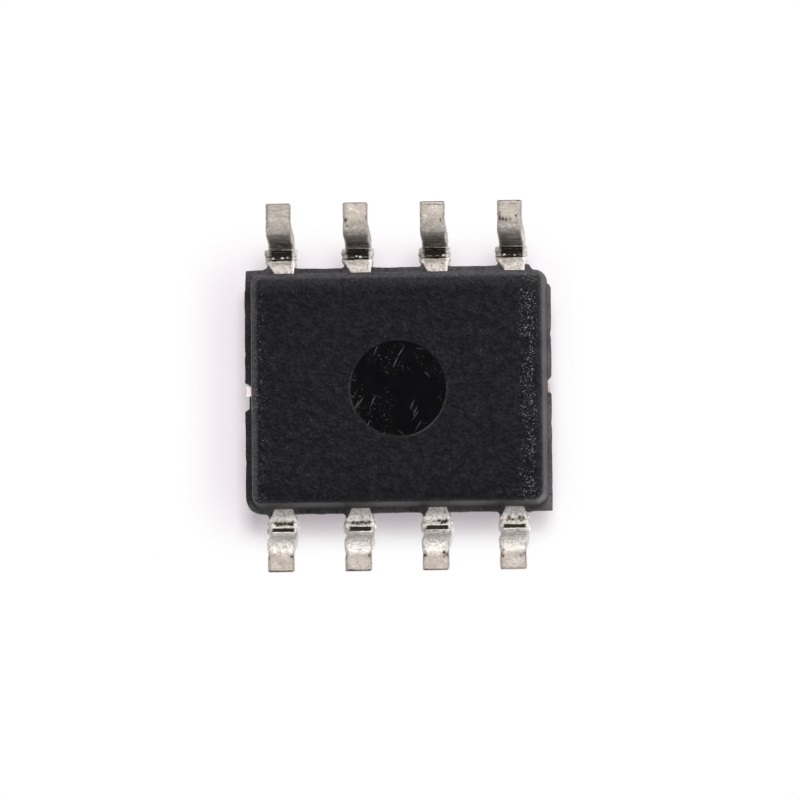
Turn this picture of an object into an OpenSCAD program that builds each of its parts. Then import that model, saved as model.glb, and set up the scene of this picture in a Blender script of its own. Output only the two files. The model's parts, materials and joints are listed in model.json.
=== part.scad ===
// Eight-lead small-outline chip, narrow body, standing on its feet.
// Millimetres. The origin is the middle of the seating plane, +Z points at the
// top face, X runs along the body and Y runs across the two rows of leads.
// Lead 1 is at -X, -Y and the numbers run anticlockwise seen from above.

/* [Body] */
// Length of the moulding's two halves where they meet the parting band, along X
body_l = 4.90; // [4.6:0.05:8.0]
// Width of the moulding's two halves where they meet the parting band, along Y
body_w = 3.90; // [3.6:0.02:4.8]
// Thickness of the moulding from bottom face to top face
body_h = 1.45; // [1.2:0.05:2.4]
// Height of the bottom face above the seating plane
standoff = 0.15; // [0.05:0.01:0.3]
// Height of the lead frame's underside above the bottom face
lower_h = 0.60; // [0.5:0.02:1.0]
// Draft of the side faces above and below the parting band, in degrees
draft = 6; // [2:0.5:12]
// Least radius of the upright corners at the parting band
corner_r = 0.18; // [0.1:0.01:0.4]
// Radius of the edges round the bottom face and the top face
edge_r = 0.06; // [0.03:0.01:0.2]
// How far the parting band stands proud of the side faces
flash = 0.08; // [0.01:0.005:0.1]
// Diameter of the ejector-pin recess in the middle of the bottom face
ejector_d = 1.56; // [0.8:0.02:2.4]
// Depth of the ejector-pin recess
ejector_depth = 0.04; // [0.02:0.01:0.1]
// Diameter of the dimple that marks lead 1 on the top face
dimple_d = 0.60; // [0.3:0.05:0.9]
// Depth of the dimple that marks lead 1
dimple_depth = 0.05; // [0.02:0.01:0.1]
// Distance from the two nearest body edges to the middle of the dimple
dimple_inset = 0.72; // [0.6:0.02:1.0]

/* [Leads] */
// Distance between neighbouring leads of a row
pitch = 1.27; // [1.0:0.01:1.3]
// Thickness of the lead frame
frame_t = 0.20; // [0.15:0.01:0.25]
// Width of a foot and of its leg
foot_w = 0.42; // [0.3:0.01:0.5]
// Width of a lead where it leaves the body
exit_w = 0.39; // [0.25:0.01:0.44]
// Width over the two dam-bar stubs
stub_w = 0.52; // [0.46:0.01:0.6]
// Length of a dam-bar stub along the lead, from the start of the upper bend
stub_l = 0.11; // [0.05:0.01:0.2]
// Length of the flat part of a foot's sole
foot_l = 0.26; // [0.2:0.01:0.8]
// Length of the flat shoulder from the body to the upper bend
shoulder_l = 0.32; // [0.2:0.01:0.4]
// Inside radius of the upper bend and of the heel bend
bend_r = 0.12; // [0.08:0.01:0.15]
// Angle of the leg to the foot, in degrees
leg_angle = 80; // [75:1:88]
// Width of the resin web left beside a lead where it leaves the band
web_w = 0.08; // [0.04:0.01:0.15]
// How far that web reaches along the shoulder, from the side face
web_l = 0.17; // [0.1:0.01:0.2]

/* [Inside] */
// Length of the die pad along X
pad_l = 2.30; // [1.8:0.05:2.6]
// Width of the die pad along Y
pad_w = 1.90; // [1.5:0.05:2.0]
// How far the die pad is pressed down below the lead frame
downset = 0.20; // [0.1:0.01:0.25]
// Width of the tie bar at each end of the die pad
tie_w = 0.16; // [0.12:0.01:0.3]
// Run of the sloping part of a tie bar along X
tie_slope = 0.24; // [0.15:0.01:0.4]
// How far the cut end of a tie bar stands out of the side face
tie_out = 0.05; // [0.01:0.01:0.08]
// Width of the notch that the trimming punch leaves round a tie bar
tie_notch_w = 0.40; // [0.2:0.02:0.6]
// Clear gap between an inner lead's head and the die pad, in plan
head_gap = 0.25; // [0.2:0.01:0.4]
// Width of the head of a middle lead
head_w = 0.56; // [0.45:0.01:0.7]
// Length of the head of a lead
head_l = 0.36; // [0.3:0.01:0.4]
// Length of the silicon die along X
die_l = 1.50; // [1.0:0.05:1.7]
// Width of the silicon die along Y
die_w = 1.30; // [0.9:0.05:1.4]
// Thickness of the silicon die
die_h = 0.25; // [0.15:0.01:0.3]
// Thickness of the layer that holds the die on its pad
attach_h = 0.025; // [0.01:0.005:0.05]
// How far that layer stands out past the die
attach_out = 0.06; // [0.02:0.01:0.1]
// Diameter of a bond wire
wire_d = 0.025; // [0.02:0.001:0.04]
// Diameter of the ball at a wire's start on the die
ball_d = 0.07; // [0.05:0.005:0.08]
// Height of that ball
ball_h = 0.02; // [0.01:0.002:0.03]
// Length of the flattened stitch at a wire's end on its lead
stitch_l = 0.06; // [0.04:0.005:0.08]
// Width of that stitch
stitch_w = 0.05; // [0.03:0.005:0.07]
// Height of a wire's loop above its ball
loop_h = 0.15; // [0.1:0.01:0.2]
// Distance from the die's edge to the middle of a ball
bond_inset = 0.08; // [0.06:0.01:0.12]
// Distance from the die's middle to the balls of the two middle wires of a side, along X
middle_bond_x = 0.44; // [0.1:0.02:0.5]
// Distance from the die's middle to the balls of the outer wires of a side, along Y
outer_bond_y = 0.41; // [0.1:0.01:0.42]

/* [Hidden] */
$fn = 48;
// Overshoot of a cut past the face that it opens
EPS = 0.01;
// Leads in a row
ROW = 4;
// Flats that make up one bend of a lead
BEND_STEPS = 10;
// Sides of a wire, and rings along its loop
WIRE_SIDES = 6;
LOOP_RINGS = 8;
// Share of a wire's way at which its loop is highest
LOOP_PEAK = 0.25;

upper_h = body_h - lower_h - frame_t;
frame_z = standoff + lower_h;
top_z = standoff + body_h;
lead_top = frame_z + frame_t;
pad_z = frame_z - downset;
attach_z = pad_z + frame_t;
die_z = attach_z + attach_h;
die_top = die_z + die_h;

// What the draft and the rounded edge together take off a side, and the distance from a
// side of the band to the axis of its corner, which leaves room for both
edge_reach = edge_r / tan((90 + draft) / 2);
axis_in = max(corner_r, max(lower_h, upper_h) * tan(draft) + edge_reach + EPS);
corner_x = body_l / 2 - axis_in;
corner_y = body_w / 2 - axis_in;

edge_y = body_w / 2;
bend_y = edge_y + shoulder_l;
head_y = pad_w / 2 + head_gap;
head_x = pad_l / 2 + head_gap;
outer_x = 1.5 * pitch;
leg_rise = frame_z - (2 * bend_r + frame_t) * (1 - cos(leg_angle));
stub_steps = max(1, round(stub_l / ((bend_r + frame_t / 2) * leg_angle * PI / 180) * BEND_STEPS));

// ---- where lead n stands: its column counted along its row, and its side ----

function side_of(n) = n <= ROW ? -1 : 1;
function column_of(n) = n <= ROW ? n - 1 : 2 * ROW - n;
function lead_x(n) = (column_of(n) - (ROW - 1) / 2) * pitch;
function is_corner(n) = column_of(n) == 0 || column_of(n) == ROW - 1;
// +1 where the package's middle lies towards +X of the lead, else -1
function inward(n) = lead_x(n) < 0 ? 1 : -1;

// Carries a shape drawn as "outwards is +Y, the package's middle is +X" to lead n.
module at_lead(n)
    translate([lead_x(n), 0, 0])
        mirror([inward(n) < 0 ? 1 : 0, 0, 0])
            mirror([0, side_of(n) < 0 ? 1 : 0, 0])
                children();

// ---- moulding ----

// Half-section through one side of a moulding half, from its corner axis outwards:
// a drafted side of height h that ends in a rounded edge at the flat face.
module side_section(h) {
    flat_x = axis_in - h * tan(draft) - edge_reach;
    tangent_z = h - edge_r + edge_r * sin(draft);
    tangent = [axis_in - tangent_z * tan(draft), tangent_z];
    difference() {
        polygon([[0, 0], [axis_in, 0], [axis_in - h * tan(draft), h], [0, h]]);
        polygon([[flat_x, h], tangent, [axis_in, h], [axis_in, h + EPS], [flat_x, h + EPS]]);
    }
    intersection() {
        translate([flat_x, h - edge_r]) circle(r = edge_r);
        polygon([[flat_x, h - edge_r], tangent, [axis_in, h], [axis_in, h + EPS], [flat_x, h + EPS]]);
    }
}

// One drafted half of the moulding, its parting face at z = 0 and its flat face at z = h.
module moulding_half(h) {
    translate([-corner_x, -corner_y, 0]) cube([2 * corner_x, 2 * corner_y, h]);
    for (turn = [0, 180]) rotate([0, 0, turn]) {
        translate([corner_x, corner_y, 0])
            rotate([90, 0, 0]) linear_extrude(2 * corner_y) side_section(h);
        translate([-corner_x, corner_y, 0])
            rotate([90, 0, 90]) linear_extrude(2 * corner_x) side_section(h);
        translate([corner_x, corner_y, 0])
            rotate_extrude(angle = 90) side_section(h);
        translate([-corner_x, corner_y, 0])
            rotate([0, 0, 90]) rotate_extrude(angle = 90) side_section(h);
    }
}

// Plan of the parting band, a rectangle with round corners.
module band_plan() {
    r = axis_in + flash;
    square([2 * corner_x, 2 * (corner_y + r)], center = true);
    square([2 * (corner_x + r), 2 * corner_y], center = true);
    for (x = [-corner_x, corner_x], y = [-corner_y, corner_y])
        translate([x, y]) circle(r = r);
}

// Half the width of a lead's shoulder at the distance d from the side face.
function shoulder_half(d) = (exit_w + (stub_w - exit_w) * d / shoulder_l) / 2;

// Resin webs left on both sides of a shoulder, which run out along its edges.
module web_plan() {
    root_x = shoulder_half(flash) + web_w;
    for (s = [-1, 1])
        polygon([
            [0, edge_y], [s * root_x, edge_y], [s * root_x, edge_y + flash],
            [s * shoulder_half(web_l), edge_y + web_l], [0, edge_y + web_l]
        ]);
}

module mould_outside() {
    translate([0, 0, frame_z]) mirror([0, 0, 1]) moulding_half(lower_h);
    translate([0, 0, lead_top]) moulding_half(upper_h);
    translate([0, 0, frame_z]) linear_extrude(frame_t) band_plan();
    for (n = [1:2 * ROW])
        at_lead(n) translate([0, 0, frame_z]) linear_extrude(frame_t) web_plan();
}

module mould_body() color([0.07, 0.07, 0.08]) difference() {
    mould_outside();
    // ejector-pin recess in the bottom face, lead 1 dimple in the top face
    translate([0, 0, standoff - EPS]) cylinder(h = ejector_depth + EPS, d = ejector_d);
    translate([dimple_inset - body_l / 2, dimple_inset - body_w / 2, top_z - dimple_depth])
        cylinder(h = dimple_depth + EPS, d = dimple_d);
    // notches that the trimming punch leaves in the band, as deep as the band stands out
    for (s = [-1, 1])
        translate([s * (body_l / 2 + flash), 0, frame_z + frame_t / 2])
            cube([2 * flash, tie_notch_w, frame_t], center = true);
    // room for everything that is moulded in
    for (n = [1:2 * ROW]) {
        lead(n);
        bond_wire(n);
    }
    pad_with_ties();
    attach_layer();
    die_block();
}

// ---- leads ----

// Plan of a lead inside the body and along its shoulder, as far as the upper bend.
module finger_plan(corner) {
    e = exit_w / 2;
    neck_y = head_y + head_l;
    root_y = (neck_y + edge_y) / 2;
    // tapered shoulder, which widens to the stubs
    polygon([[-e, edge_y], [e, edge_y], [stub_w / 2, bend_y], [-stub_w / 2, bend_y]]);
    // straight root
    translate([-e, root_y]) square([exit_w, edge_y - root_y]);
    // head that the resin locks round and the wire is bonded to
    if (corner) {
        side_x = outer_x - head_x;
        polygon([
            [-e, root_y], [e, root_y], [side_x, head_y + head_l / 2], [side_x, head_y - head_l],
            [side_x - head_l, head_y - head_l], [-e, head_y]
        ]);
    } else {
        polygon([
            [-e, root_y], [e, root_y], [head_w / 2, neck_y], [head_w / 2, head_y],
            [-head_w / 2, head_y], [-head_w / 2, neck_y]
        ]);
    }
}

// Side views of the formed strip are drawn as [outwards, up] from the point where the
// underside of the shoulder ends. This gives points along one of its bends.
function bend_points(centre, r, from, to, steps) = [
    for (i = [0:steps])
        let (a = from + (to - from) * i / steps)
        centre + r * [cos(a), sin(a)]
];

// Side view of the first steps of the upper bend, as long as a dam-bar stub.
module stub_profile() {
    centre = [0, -bend_r];
    turn = leg_angle * stub_steps / BEND_STEPS;
    polygon(concat(
        bend_points(centre, bend_r, 90, 90 - turn, stub_steps),
        bend_points(centre, bend_r + frame_t, 90 - turn, 90, stub_steps)
    ));
}

// Side view of the whole strip: upper bend, leg, heel and foot.
module strip_profile() {
    c = cos(leg_angle);
    s = sin(leg_angle);
    upper = [0, -bend_r];
    heel = upper + (2 * bend_r + frame_t) * [s, c] + leg_rise / s * [c, -s];
    toe_x = heel[0] + foot_l;
    polygon(concat(
        bend_points(upper, bend_r, 90, 90 - leg_angle, BEND_STEPS),
        bend_points(heel, bend_r + frame_t, 270 - leg_angle, 270, BEND_STEPS),
        [[toe_x, -frame_z], [toe_x, frame_t - frame_z]],
        bend_points(heel, bend_r, 270, 270 - leg_angle, BEND_STEPS),
        bend_points(upper, bend_r + frame_t, 90 - leg_angle, 90, BEND_STEPS)
    ));
}

// Gives a side view of the strip its width w, and stands it at the end of the shoulder.
module strip(w)
    translate([-w / 2, bend_y, frame_z])
        rotate([90, 0, 90]) linear_extrude(w) children();

module lead(n)
    at_lead(n) {
        translate([0, 0, frame_z]) linear_extrude(frame_t) finger_plan(is_corner(n));
        strip(stub_w) stub_profile();
        strip(foot_w) strip_profile();
    }

module lead_1() color([0.72, 0.70, 0.67]) lead(1);
module lead_2() color([0.72, 0.70, 0.67]) lead(2);
module lead_3() color([0.72, 0.70, 0.67]) lead(3);
module lead_4() color([0.72, 0.70, 0.67]) lead(4);
module lead_5() color([0.72, 0.70, 0.67]) lead(5);
module lead_6() color([0.72, 0.70, 0.67]) lead(6);
module lead_7() color([0.72, 0.70, 0.67]) lead(7);
module lead_8() color([0.72, 0.70, 0.67]) lead(8);

// ---- die pad, its tie bars and the die ----

// Side view of one tie bar, from inside the pad's edge up to the lead frame's level and
// out to where the punch cut it.
module tie_profile() {
    root_x = pad_l / 2 - frame_t;
    slope_x = pad_l / 2 + EPS;
    level_x = slope_x + tie_slope;
    cut_x = body_l / 2 + tie_out;
    polygon([
        [root_x, pad_z], [slope_x, pad_z], [level_x, frame_z], [cut_x, frame_z],
        [cut_x, lead_top], [level_x, lead_top], [slope_x, attach_z], [root_x, attach_z]
    ]);
}

module pad_with_ties() {
    translate([-pad_l / 2, -pad_w / 2, pad_z]) cube([pad_l, pad_w, frame_t]);
    for (s = [0, 180])
        rotate([0, 0, s]) translate([0, tie_w / 2, 0])
            rotate([90, 0, 0]) linear_extrude(tie_w) tie_profile();
}

module attach_layer()
    translate([-die_l / 2 - attach_out, -die_w / 2 - attach_out, attach_z])
        cube([die_l + 2 * attach_out, die_w + 2 * attach_out, attach_h]);

module die_block()
    translate([-die_l / 2, -die_w / 2, die_z]) cube([die_l, die_w, die_h]);

module die_pad() color([0.72, 0.45, 0.30]) pad_with_ties();
module die_attach() color([0.62, 0.62, 0.64]) attach_layer();
module silicon_die() color([0.30, 0.32, 0.38]) die_block();

// ---- bond wires ----

// Where a wire starts on the die and ends on its lead, in plan, drawn as at_lead() draws.
function die_spot(n) = is_corner(n)
    ? [outer_x - die_l / 2 + bond_inset, outer_bond_y]
    : [pitch / 2 - middle_bond_x, die_w / 2 - bond_inset];
function lead_spot(n) = is_corner(n)
    ? [outer_x - head_x - head_l / 2, head_y - head_l / 2]
    : [0, head_y + head_l / 2];

// Height of the wire's middle line at the share t of its way: a steep rise from the
// ball, then a long fall to the lead.
function loop_z(t) =
    let (start = die_top + ball_h, end = lead_top + wire_d)
    t < LOOP_PEAK
        ? start + loop_h * sin(90 * t / LOOP_PEAK)
        : end + (start + loop_h - end) * (1 + cos(180 * (t - LOOP_PEAK) / (1 - LOOP_PEAK))) / 2;

// Slope of that line in degrees, for a wire whose way in plan is run long.
function loop_slope(t, run) =
    let (half_step = 1 / LOOP_RINGS / 2)
    atan2(loop_z(t + half_step) - loop_z(t - half_step), 2 * half_step * run);

// One ring round centre, with half-widths rx along ax and ry along ay.
function ring(centre, ax, ay, rx, ry) = [
    for (k = [0:WIRE_SIDES - 1])
        let (a = (k + 0.5) * 360 / WIRE_SIDES)
        centre + rx * cos(a) * ax + ry * sin(a) * ay
];

// All rings of a wire from [x, y] at the die to [x, y] at the lead. The ball and the
// stitch end in level rings, which lie on the die and on the lead, and the wire comes
// down to the heel of its stitch.
function wire_rings(from, to) =
    let (
        run = norm(to - from),
        along = [(to - from)[0], (to - from)[1], 0] / run,
        across = [-along[1], along[0], 0],
        up = [0, 0, 1],
        ball = [from[0], from[1], die_top],
        stitch = [to[0], to[1], lead_top],
        r = wire_d / 2,
        rim_h = ball_h / 2,
        heel = stitch + wire_d * up - stitch_l / 4 * along
    )
    concat(
        [
            ring(ball, across, along, ball_d / 2, ball_d / 2),
            ring(ball + rim_h * up, across, along, ball_d / 2, ball_d / 2),
            ring(ball + ball_h * up, across, along, r, r)
        ],
        [
            for (i = [1:LOOP_RINGS - 1])
                let (t = i / LOOP_RINGS, slope = loop_slope(t, run))
                ring(
                    [from[0], from[1], loop_z(t)] + t * run * along,
                    across, sin(slope) * along - cos(slope) * up, r, r
                )
        ],
        [
            ring(heel, across, -along, (r + stitch_w / 2) / 2, r),
            ring(stitch, across, -along, stitch_w / 2, stitch_l / 2)
        ]
    );

// Closed tube through equal rings.
module ring_tube(rings) {
    count = len(rings);
    polyhedron(
        points = [for (one = rings) each one],
        faces = concat(
            [[for (k = [0:WIRE_SIDES - 1]) k]],
            [
                for (i = [0:count - 2], k = [0:WIRE_SIDES - 1])
                    let (
                        a = i * WIRE_SIDES + k,
                        b = i * WIRE_SIDES + (k + 1) % WIRE_SIDES
                    )
                    each [[a, a + WIRE_SIDES, b], [b, a + WIRE_SIDES, b + WIRE_SIDES]]
            ],
            [[for (k = [WIRE_SIDES - 1:-1:0]) (count - 1) * WIRE_SIDES + k]]
        )
    );
}

module bond_wire(n)
    at_lead(n) ring_tube(wire_rings(die_spot(n), lead_spot(n)));

module bond_wire_1() color([0.83, 0.66, 0.30]) bond_wire(1);
module bond_wire_2() color([0.83, 0.66, 0.30]) bond_wire(2);
module bond_wire_3() color([0.83, 0.66, 0.30]) bond_wire(3);
module bond_wire_4() color([0.83, 0.66, 0.30]) bond_wire(4);
module bond_wire_5() color([0.83, 0.66, 0.30]) bond_wire(5);
module bond_wire_6() color([0.83, 0.66, 0.30]) bond_wire(6);
module bond_wire_7() color([0.83, 0.66, 0.30]) bond_wire(7);
module bond_wire_8() color([0.83, 0.66, 0.30]) bond_wire(8);

mould_body();
lead_1();
lead_2();
lead_3();
lead_4();
lead_5();
lead_6();
lead_7();
lead_8();
die_pad();
die_attach();
silicon_die();
bond_wire_1();
bond_wire_2();
bond_wire_3();
bond_wire_4();
bond_wire_5();
bond_wire_6();
bond_wire_7();
bond_wire_8();
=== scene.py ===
"""Shapes and finishes of an eight-lead small-outline chip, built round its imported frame.

The frame is in metres: the chip stands on its feet, +Z points at its top face, X runs
along the body and Y runs across the two rows of leads. Sizes held by the classes below are
in millimetres, as on a package drawing, and PieceMesh turns them into metres.
"""
import json
import logging
import math
from collections.abc import Sequence
from dataclasses import dataclass, field
from enum import Enum
from typing import ClassVar

import bpy
import numpy as np
from mathutils import Matrix, Vector
from mathutils.geometry import delaunay_2d_cdt


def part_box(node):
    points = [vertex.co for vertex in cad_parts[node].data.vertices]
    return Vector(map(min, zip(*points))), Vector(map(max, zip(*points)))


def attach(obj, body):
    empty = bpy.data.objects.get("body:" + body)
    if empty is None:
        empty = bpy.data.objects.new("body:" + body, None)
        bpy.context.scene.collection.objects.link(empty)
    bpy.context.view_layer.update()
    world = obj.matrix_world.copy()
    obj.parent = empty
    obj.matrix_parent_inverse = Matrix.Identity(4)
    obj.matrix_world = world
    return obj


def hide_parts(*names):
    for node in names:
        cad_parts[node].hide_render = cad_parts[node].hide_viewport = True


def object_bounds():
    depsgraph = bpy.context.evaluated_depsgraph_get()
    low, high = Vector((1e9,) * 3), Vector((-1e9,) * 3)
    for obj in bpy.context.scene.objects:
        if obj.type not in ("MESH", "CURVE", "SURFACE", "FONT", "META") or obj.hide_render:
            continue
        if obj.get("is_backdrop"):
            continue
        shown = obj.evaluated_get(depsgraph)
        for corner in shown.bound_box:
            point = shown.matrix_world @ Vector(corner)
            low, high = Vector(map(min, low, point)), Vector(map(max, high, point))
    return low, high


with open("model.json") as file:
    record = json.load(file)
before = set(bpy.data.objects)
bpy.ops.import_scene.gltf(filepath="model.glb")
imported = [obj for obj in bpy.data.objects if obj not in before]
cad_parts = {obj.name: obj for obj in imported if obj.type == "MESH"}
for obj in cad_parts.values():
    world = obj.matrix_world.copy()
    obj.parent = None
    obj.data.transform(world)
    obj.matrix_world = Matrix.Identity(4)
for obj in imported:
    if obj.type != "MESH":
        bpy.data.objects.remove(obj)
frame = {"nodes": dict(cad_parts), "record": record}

LOG = logging.getLogger("chip")
MM = 0.001
BODY = "root"
Array = np.ndarray
Triple = tuple[float, float, float]
Colour = Triple
# two numbers that belong together: a span, or the sides towards -X and towards +X
Pair = tuple[float, float]
# the places where an edge bends, and how far out it is at each
Edge = tuple[tuple[float, ...], tuple[float, ...]]
LEAD_COUNT = 8
# 2 * sqrt(ln 2): how wide exp(-x * x) is at half its height
BELL_WIDTH = 1.665


# ---- numbers and noise ----

def smooth(x: Array, start: float, end: float) -> Array:
    """Eases from 0 at start to 1 at end, which may lie on either side of start."""
    t = np.clip((x - start) / (end - start), 0.0, 1.0)
    return t * t * (3.0 - 2.0 * t)


def bell(x: Array, middle: float, width: float) -> Array:
    """A smooth hump of height 1 round middle, about width wide at half its height."""
    return np.exp(-(((x - middle) * BELL_WIDTH / width) ** 2))


@dataclass(frozen=True)
class Grain:
    """Seeded smooth noise from -1 to 1, for small unevenness of real surfaces."""

    seed: int
    pitch: float
    CELLS: ClassVar[int] = 64

    def __call__(self, x: Array, y: Array | float = 0.0) -> Array:
        """Reads the noise.

        Args:
            x: First coordinate, in millimetres.
            y: Second coordinate, in millimetres.

        Returns:
            The noise at each place.
        """
        table = np.random.default_rng(self.seed).uniform(-1.0, 1.0, (self.CELLS, self.CELLS))
        u, v = np.broadcast_arrays(np.asarray(x) / self.pitch, np.asarray(y) / self.pitch)
        column, row = np.floor(u).astype(int), np.floor(v).astype(int)
        fu, fv = smooth(u - column, 0.0, 1.0), smooth(v - row, 0.0, 1.0)
        sides = []
        for j in (0, 1):
            near, far = (table[(column + i) % self.CELLS, (row + j) % self.CELLS] for i in (0, 1))
            sides.append(near * (1 - fu) + far * fu)
        return sides[0] * (1 - fv) + sides[1] * fv


# ---- shader graphs ----

class Sock:
    """One output of a shader graph. Arithmetic on it adds Math nodes."""

    def __init__(self, graph: "Graph", socket: bpy.types.NodeSocket) -> None:
        """Wraps one output socket of a graph."""
        self.graph = graph
        self.socket = socket

    def maths(self, operation: str, *values: "Sock | float", clamp: bool = False) -> "Sock":
        """Adds one Math node to the values. Clamp holds its result between 0 and 1."""
        settings = {"operation": operation, "use_clamp": clamp}
        return self.graph.add("ShaderNodeMath", settings, dict(enumerate(values)))

    def __add__(self, other: "Sock | float") -> "Sock":
        """Sum."""
        return self.maths("ADD", self, other)

    def __radd__(self, other: float) -> "Sock":
        """Sum with a number on the left."""
        return self.maths("ADD", other, self)

    def __sub__(self, other: "Sock | float") -> "Sock":
        """Difference."""
        return self.maths("SUBTRACT", self, other)

    def __rsub__(self, other: float) -> "Sock":
        """Difference from a number on the left."""
        return self.maths("SUBTRACT", other, self)

    def __mul__(self, other: "Sock | float") -> "Sock":
        """Product."""
        return self.maths("MULTIPLY", self, other)

    def __rmul__(self, other: float) -> "Sock":
        """Product with a number on the left."""
        return self.maths("MULTIPLY", other, self)

    def held(self) -> "Sock":
        """The same value, held between 0 and 1."""
        return self.maths("ADD", self, 0.0, clamp=True)

    def eased(self, start: float, end: float) -> "Sock":
        """Eases from 0 to 1.

        Args:
            start: The value that gives 0.
            end: The value that gives 1. It may be below start.

        Returns:
            The eased step.
        """
        low, high = min(start, end), max(start, end)
        step = self.graph.add(
            "ShaderNodeMapRange",
            {"interpolation_type": "SMOOTHSTEP"},
            {"Value": self, "From Min": low, "From Max": high},
        )
        return step if start < end else 1.0 - step


class Graph:
    """The node tree of one material, or of the world, while it is made."""

    def __init__(self, owner: bpy.types.Material | bpy.types.World) -> None:
        """Empties a node tree and starts to fill it.

        Args:
            owner: The material or the world that the tree belongs to.
        """
        owner.use_nodes = True
        self.tree = owner.node_tree
        self.tree.nodes.clear()

    def add(
        self,
        kind: str,
        settings: dict[str, object] | None = None,
        sockets: dict[str | int, object] | None = None,
        output: str | int = 0,
    ) -> Sock:
        """Adds one node.

        Args:
            kind: The node's type.
            settings: Its properties, set first.
            sockets: Values or outputs for its inputs, by name or number.
            output: The output that is wanted.

        Returns:
            That output.
        """
        node = self.tree.nodes.new(kind)
        for name, value in (settings or {}).items():
            setattr(node, name, value)
        for name, value in (sockets or {}).items():
            if isinstance(value, Sock):
                self.tree.links.new(value.socket, node.inputs[name])
            else:
                node.inputs[name].default_value = value
        return Sock(self, node.outputs[output] if node.outputs else None)

    def vector(self, operation: str, *values: Sock | Triple, output: str | int = 0) -> Sock:
        """Adds one Vector Math node to the values. Its output "Value" is a length."""
        return self.add("ShaderNodeVectorMath", {"operation": operation}, dict(enumerate(values)), output)

    def axis(self, at: Sock, name: str) -> Sock:
        """One coordinate, "X", "Y" or "Z", of a vector."""
        return self.add("ShaderNodeSeparateXYZ", None, {0: at}, name)

    def mark(self, name: str) -> Sock:
        """The mesh attribute of that name, one value for each point."""
        return self.add("ShaderNodeAttribute", {"attribute_name": name}, None, "Fac")

    def place(self, stretch: Triple = (1.0, 1.0, 1.0), turn: float = 0.0) -> Sock:
        """Place on the object in millimetres.

        Args:
            stretch: Factors along X, Y and Z.
            turn: Turn about Z before the factors, in degrees.

        Returns:
            The vector to read a texture at.
        """
        at = self.add("ShaderNodeTexCoord", output="Object")
        if turn:
            sockets = {"Vector": at, "Angle": math.radians(turn)}
            at = self.add("ShaderNodeVectorRotate", {"rotation_type": "Z_AXIS"}, sockets)
        return self.vector("MULTIPLY", at, tuple(f / MM for f in stretch))

    def noise(self, at: Sock, per_mm: float, detail: float = 2.0, rough: float = 0.5) -> Sock:
        """Soft noise round 0.5, of detail octaves, with so many waves to a millimetre."""
        sockets = {"Vector": at, "Scale": per_mm, "Detail": detail, "Roughness": rough}
        return self.add("ShaderNodeTexNoise", None, sockets, "Fac")

    def specks(self, at: Sock, per_mm: float, share: float, reach: float, space: str = "3D") -> Sock:
        """Scattered round specks.

        Args:
            at: Where they are read.
            per_mm: Cells in a millimetre; a cell holds one speck or none.
            share: Share of the cells that hold one.
            reach: Radius of a speck, as a share of a cell.
            space: "2D" for specks that run straight up and down.

        Returns:
            1 in a speck, 0 outside.
        """
        sockets, settings = {"Vector": at, "Scale": per_mm}, {"voronoi_dimensions": space}
        near = self.add("ShaderNodeTexVoronoi", settings, sockets, "Distance")
        tint = self.add("ShaderNodeTexVoronoi", settings, sockets, "Color")
        pick = self.add("ShaderNodeSeparateColor", None, {0: tint}, 0)
        return near.eased(reach, reach * 0.45) * pick.eased(share, share * 0.8)

    def strokes(self, turn: float, per_mm: float, share: float, thin: float) -> Sock:
        """Specks drawn out into thin scratches, which are turned by so many degrees."""
        return self.specks(self.place((1.0, 0.10, 1.0), turn), per_mm, share, thin, "2D")

    def mix(self, low: object, high: object, share: Sock | float) -> Sock:
        """Mixes two colours or outputs, from low at share 0 to high at share 1."""
        low, high = ((*c, 1.0) if isinstance(c, tuple) else c for c in (low, high))
        return self.add("ShaderNodeMix", {"data_type": "RGBA"}, {0: share, 6: low, 7: high}, 2)

    def bump(self, height: Sock, depth: float) -> Sock:
        """Normal of a relief that goes from 0 to 1 over a depth in millimetres."""
        sockets = {"Height": height, "Distance": depth * MM, "Strength": 1.0}
        return self.add("ShaderNodeBump", None, sockets)

    def principled(self, **sockets: object) -> Sock:
        """Adds the main shader.

        Args:
            sockets: Values or outputs for its inputs, named with _ for a blank. A colour may be
                a tuple, and Specular is short for the specular level.

        Returns:
            The shader.
        """
        named = {
            name.replace("_", " "): (*value, 1.0) if isinstance(value, tuple) else value
            for name, value in sockets.items()
        }
        if "Specular" in named:
            named["Specular IOR Level"] = named.pop("Specular")
        return self.add("ShaderNodeBsdfPrincipled", None, named)

    def finish(self, shader: Sock, kind: str = "ShaderNodeOutputMaterial") -> None:
        """Joins the last shader to the output node."""
        self.add(kind, None, {"Surface": shader})


# ---- finishes ----

@dataclass(frozen=True)
class Finish:
    """What a material is made from. Each kind of finish says what goes into the main shader."""

    name: str

    def paint(self, g: Graph) -> dict[str, object]:
        """What goes into the main shader's inputs, with the nodes that it needs added to g."""
        raise NotImplementedError

    def build(self) -> bpy.types.Material:
        """Makes the material.

        Returns:
            The material.
        """
        material = bpy.data.materials.new(self.name)
        g = Graph(material)
        g.finish(g.principled(**self.paint(g)))
        return material


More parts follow.
